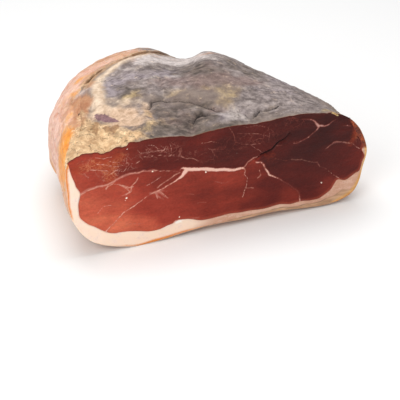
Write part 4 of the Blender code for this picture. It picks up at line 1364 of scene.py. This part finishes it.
def spots_and_creases(f, colour, mould):
    """Lays the brown patches, the bare spot and fine dark creases of the mould over a colour, and
    varies it. Returns the colour and the creases."""
    umber = (f.field("umber") + f.fleck * 0.9 + f.blot * 1.5).rise(1.2, -0.8)
    colour = f.mix(umber * 0.75, colour, f.mix(f.varied, "7c5838", "a67e58"))
    bare = (f.field("bare") + f.fleck * 0.9 + f.blot * 1.3).rise(0.9, -0.7)
    colour = f.mix(bare * 0.9, colour, f.mix(f.varied, "664850", "86646a"))
    crease = (f.cells(11.0, 1.0, (0.5, 1, 1), 61.0) + f.fleck * 0.3).rise(0.7, 0.0)
    crease = crease * f.cloud.rise(-0.2, 0.5) * mould
    colour = f.mix(crease * 0.5, colour, "4a403b")
    return f.shaded(colour, 1.0 + f.blot * 0.08 + f.fleck * 0.10 + f.streak * 0.08), crease


def rim_marks(f, colour):
    """Lays a stain, a brown line and the dark crack along the rim over a colour; the crack's dark is
    painted shade.
    """
    from_rim = f.field("rim").size() + f.cloud * 1.8 + f.blot * 0.8
    stained = f.mix(f.varied, "9a704c", "d2b08c")
    colour = f.mix(from_rim.rise(8.0, 2.0) * f.field("rim_mark") * 0.7, colour, stained)
    mark = (from_rim + f.fleck * 0.8).rise(1.6, 0.0) * f.field("rim_mark")
    colour = f.mix(mark * 0.6, colour, "67492e")
    # Painted shade in the gap beside the lip
    dark = (f.field("rim_crack") + f.fleck * 0.2).rise(0.35, 0.75)
    return f.mix(dark, colour, "24160f")


def weather(f, colour, grown=0.0):
    """Lays all of that over a base colour. Returns the colour, the crumbs and the grooves."""
    colour, mould = patches(f, colour, grown)
    colour, crumb, groove = crumbs(f, colour)
    colour, crease = spots_and_creases(f, colour, mould)
    return rim_marks(f, colour), crumb, groove + crease * 0.6


# %% Dried top
def dried_top():
    f = Weathered("dried_top", 1.0)
    brownish = (f.noise(9.0, 4.0, (0.6, 1, 1), 13.0) * 0.5 + 0.5).rise(0.1, 0.9)
    colour, crumb, groove = weather(f, f.mix(brownish, "6c5d58", "8b7c72"))
    crack = f.field("crack") + f.fleck * 0.4
    # Painted shade: dark in the cracks, and a little darker in a wider band beside them
    colour = f.mix(crack.rise(4.0, 0.2) * 0.2, colour, "453b38")
    colour = f.mix(crack.rise(1.2, 0.2) * 0.9, colour, "2a2321")
    edge = (f.field("from_cut") + f.fleck * 0.6).rise(1.6, 0.2)
    colour = f.mix(edge * 0.2, colour, "a88c68")
    roughness = 0.78 + f.fleck * 0.05 - crumb * 0.08
    grit = crumb * f.noise(2.4, 3.0, shift=47.0) * 0.35
    height = f.streak * 0.25 + f.fleck * 0.25 + grit - groove * 0.5
    return f.done(colour, roughness, height, 0.9, {"Specular IOR Level": 0.25})


# %% [markdown]
# ## The rind
#
# The rind is cured skin: waxy, wrinkled, pink and tan, amber where soft fat shines through, and
# mouldy where the ham lay against others. Its areas are round spots in space, because the sides
# can't be drawn from above. Over them come the patches of the top, which fade down from the rim.

# %% Rind
def rind():
    f = Weathered("rind", 0.3)
    soft = f.noise(16.0, 4.0, shift=63.0)
    broad = f.noise(34.0, 3.0, shift=77.0)
    vein = f.noise(6.0, 4.0, (0.5, 1, 1), 67.0, f.flow())
    pore = f.noise(1.8, 3.0, shift=71.0)
    spotty = f.noise(4.0, 4.0, shift=79.0)
    colour = f.mix((soft * 0.4 + vein * 0.25 + broad * 0.3 + 0.5).rise(0.1, 0.9), "b47c5a", "dcab8a")
    lighter = (broad * 0.6 + soft * 0.4 + spotty * 0.15).rise(0.15, 0.8)
    colour = f.mix(lighter * 0.7, colour, "e4c6a6")
    pale = f.mix((vein * 0.4 + spotty * 0.3 + 0.5).rise(0.1, 0.9), "cf967e", "ecc8b8")
    colour = f.mix((f.field("rind_pale") + soft * 0.3).rise(0.05, 0.9), colour, pale)
    brown = (f.field("rind_brown") + soft * 0.3 + spotty * 0.2).rise(0.05, 0.9)
    colour = f.mix(brown * 0.8, colour, f.mix((spotty * 0.5 + 0.5).rise(0.0, 1.0), "86573c", "b07c58"))
    amber = f.field("rind_amber") + soft * 0.3 + vein * 0.15 + spotty * 0.1
    colour = f.mix(amber.rise(0.0, 0.5) * 0.5, colour, "dfa868")
    deep = f.mix((vein * 0.4 + spotty * 0.3 + 0.5).rise(0.0, 1.0), "d27820", "f0a440")
    colour = f.mix(amber.rise(0.2, 0.8) * 0.95, colour, deep)
    mouldy = (f.field("rind_bloom") + soft * 0.4 + spotty * 0.25).rise(0.2, 0.9)
    fur = f.mix((spotty * 0.4 + pore * 0.3 + 0.5).rise(0.0, 1.0), "7a6c54", "b8aa90")
    colour = f.mix(mouldy * 0.75, colour, fur)
    wrinkle_and_sheen = (f.noise(3.4, 4.0, (0.4, 1, 1), 73.0, f.flow()) + pore * 0.2).rise(0.1, 0.9)
    # Pale streaks along the wrinkles, partly the skin's own colour and partly painted sheen
    colour = f.mix(wrinkle_and_sheen * 0.3, colour, "f0dccf")
    crease = (f.cells(22.0, 0.9, (1, 0.5, 1)) + pore * 0.5).rise(1.5, 0.1)
    colour = f.mix(crease * soft.rise(-0.2, 0.4) * 0.25, colour, "9a6c50")

    # The patches fade below the rim, farther down where the mould has grown over it
    near_rim = f.field("rim").rise(14.0, 4.0) + f.field("over") * f.field("rim").rise(60.0, 25.0)
    f.strength = near_rim.rise(0.0, 1.0)
    grown = f.field("over") * f.field("rim").rise(60.0, 2.0) + soft * 0.3 + spotty * 0.15 - brown * 0.3
    grown = (grown + broad * 0.25).rise(0.1, 0.85)
    colour, crumb, groove = weather(f, colour, grown)
    roughness = 0.50 + pore * 0.05 + crumb * 0.25 + grown.above(mouldy) * 0.2
    height = pore * 0.15 + vein * 0.25 + spotty * 0.15 + crumb * f.fleck * 0.2 + wrinkle_and_sheen * 0.1
    height = height - crease * 0.2 - groove * 0.3 + grown * (spotty * 0.25 + f.fleck * 0.2)
    return f.done(colour, roughness, height, 0.7, translucent(0.35, 0.12, (1.0, 0.5, 0.25), 0.005))


# %% [markdown]
# ## The fat on the cut
#
# On the cut the coat is firm fat, almost white at the left and pinkish tan on the right, partly
# dried and partly painted shade, with grey hide below it and a line of orange rind along its outer
# edge. All of these run beside the edge, so the finish reads how deep in the band a point lies, and
# the colours follow it.

# %% Fat on the cut
def cut_fat():
    f = Finish("cut_fat")
    soft = f.noise(8.0, 4.0, shift=101.0)
    fine = f.noise(1.4, 3.0, shift=111.0)
    layer = f.noise(3.0, 3.0, (0.25, 1, 1), 121.0)
    layered = (layer * 0.6 + 0.5).rise(0.0, 1.0)
    # Pinkish tan of the fat, partly its own colour and partly painted shade
    flush = f.field("flush")
    colour = f.mix((flush + soft * 0.12 + layer * 0.08).rise(0.0, 1.0), "f8dcc6", "c8967c")
    clean = (soft * 0.5 + fine * 0.2).rise(-0.1, 0.6) * flush.rise(0.6, 0.0)
    colour = f.mix(clean * 0.7, colour, "f4e2de")
    outer_part = (f.field("in_band") + soft * 1.5).rise(6.0, 0.5)
    colour = f.mix(outer_part * flush.rise(0.0, 0.3) * 0.35, colour, "bc8468")
    colour = f.mix((fine * 0.5 + soft * 0.5).rise(0.0, 0.8) * 0.4, colour, "d8ac94")
    colour = f.mix((layer * 0.7 + fine * 0.3).rise(-0.1, 0.6) * flush * 0.6, colour, "f0d2c0")
    pink = (f.field("to_lean") + fine * 0.4).rise(1.6, 0.0)
    colour = f.mix(pink * 0.35, colour, "cf8d76")
    glint = (f.field("glint") + fine * 0.3).rise(0.3, 0.8)
    colour = f.mix(glint * 0.8, colour, "fff4ea")

    hide = (f.field("hide") + layer * 0.5).rise(-0.5, 0.5)
    colour = f.mix(hide * 0.75, colour, f.mix(layered, "9a7656", "cfa680"))
    seam = (f.field("hide") + layer * 0.4).size().rise(0.6, 0.1)
    seam = seam * f.noise(9.0, 2.0, shift=131.0).rise(-0.4, 0.5)
    colour = f.mix(seam * flush, colour, "6e5640")
    line = (f.field("in_band") - f.field("line") + fine * 0.4 + soft * 0.4).rise(1.4, -1.2)
    rusty = f.mix(flush, "dc8234", f.mix(layered, "bd8a4c", "e4bb7c"))
    colour = f.mix(line * f.field("line").rise(0.1, 0.8), colour, rusty)
    dried = (f.field("dried") + fine * 0.15).rise(0.3, 0.7)
    scorched = (fine * 0.5 + soft * 0.4 + 0.5).rise(0.15, 1.0)
    colour = f.mix(dried, colour, f.mix(scorched, "541a10", "b4521e"))
    outer_edge = (f.field("in_band") + fine * 0.3).rise(1.4, 0.4)
    colour = f.mix(dried * outer_edge * 0.5, colour, "7c4a26")
    height = fine * 0.10 + soft * 0.12
    return f.done(colour, 0.48 + fine * 0.05, height, 0.5,
                  translucent(0.35, 0.2, (1.0, 0.6, 0.4), 0.004))


# %% [markdown]
# ## Dressing both pieces
#
# Each piece has two finishes that show and a quiet one for its hidden side, in the order of the
# material numbers that its rows were given. Then it is tied to the frame: it rides the one body,
# and the solid that it stands for is hidden.

# %% Dress both pieces
def plain_inside(name, code):
    """A quiet finish for the sides that never show."""
    f = Finish(name)
    soft = f.noise(6.0, 2.0)
    colour = f.mix((soft * 0.5 + 0.5).rise(0.0, 1.0), code, "d8b8a4")
    return f.done(colour, 0.6 + soft * 0.05, soft * 0.1, 0.3, {})


for piece, node, finishes in (
    (lean, "lean_meat", (dried_top(), cut_lean(), plain_inside("hidden_lean", "9a4a40"))),
    (coat, "fat_and_rind", (rind(), cut_fat(), plain_inside("hidden_fat", "ead0bc"))),
):
    for finish in finishes:
        piece.data.materials.append(finish)
    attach(piece, "root")
    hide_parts(node)

# %% [markdown]
# ## Floor, light and camera
#
# The ham lies alone on a plain pale floor in soft studio light. A panel at the front left gives
# the gentle sheen on the cut. A wider one overhead and the pale surroundings keep the shadows open.
# The camera looks down by 30 degrees, from a little to the left of the cut.

# %% Floor and soft lights
def flat_panel(name, half, z, shade):
    """A square of four corners at a height, big enough to fill the view, in a matt pale shade."""
    mesh = bpy.data.meshes.new(name)
    square = [(-half, -half, z), (half, -half, z), (half, half, z), (-half, half, z)]
    mesh.from_pydata(square, [], [(0, 1, 2, 3)])
    paper = bpy.data.materials.new(name)
    paper.use_nodes = True
    shader = paper.node_tree.nodes["Principled BSDF"]
    shader.inputs["Base Color"].default_value = (*shade, 1.0)
    shader.inputs["Roughness"].default_value = 0.7
    mesh.materials.append(paper)
    panel = bpy.data.objects.new(name, mesh)
    bpy.context.scene.collection.objects.link(panel)
    return panel


def soft_light(name, place, target, size, watts, colour):
    """A square area light at a place, turned so that it shines on the target."""
    data = bpy.data.lights.new(name, "AREA")
    data.size, data.energy, data.color = size, watts, colour
    light = bpy.data.objects.new(name, data)
    light.location = place
    light.rotation_euler = (Vector(target) - Vector(place)).to_track_quat("-Z", "Y").to_euler()
    bpy.context.scene.collection.objects.link(light)


FLOOR_SHADE = (0.84, 0.84, 0.84)
flat_panel("Floor", 4.0, 0.0, FLOOR_SHADE)
soft_light("Key", place=(-0.6, -0.6, 0.6), target=(-0.05, 0.0, 0.05), size=0.5, watts=4.4,
           colour=(1.0, 0.98, 0.95))
soft_light("Top", place=(0.0, 0.2, 1.3), target=(0.0, 0.0, 0.0), size=1.0, watts=12.0,
           colour=(1.0, 1.0, 1.0))
print("lights:", sorted(light.name for light in bpy.data.lights))

# %% Camera and surroundings
AZIMUTH, ELEVATION = np.radians(-22.0), np.radians(30.0)
CAMERA_DISTANCE = 1.05
CAMERA_TARGET = Vector((-0.0214, -0.095, 0.0324))
camera_data = bpy.data.cameras.new("Camera")
camera_data.lens, camera_data.sensor_width = 112.5, 36.0
camera = bpy.data.objects.new("Camera", camera_data)
level = np.cos(ELEVATION)
back = Vector((np.sin(AZIMUTH) * level, -np.cos(AZIMUTH) * level, np.sin(ELEVATION)))
camera.location = CAMERA_TARGET + back * CAMERA_DISTANCE
camera.rotation_euler = (-back).to_track_quat("-Z", "Y").to_euler()
bpy.context.scene.collection.objects.link(camera)
bpy.context.scene.camera = camera
print("camera at", tuple(round(v, 3) for v in camera.location))

WORLD_COLOUR, WORLD_STRENGTH = (1.0, 1.0, 1.0, 1.0), 0.55
world = bpy.data.worlds.new("Pale studio")
bpy.context.scene.world = world
world.use_nodes = True
glow = world.node_tree.nodes["Background"].inputs
glow["Color"].default_value, glow["Strength"].default_value = WORLD_COLOUR, WORLD_STRENGTH
bpy.context.scene.view_settings.view_transform = "Standard"
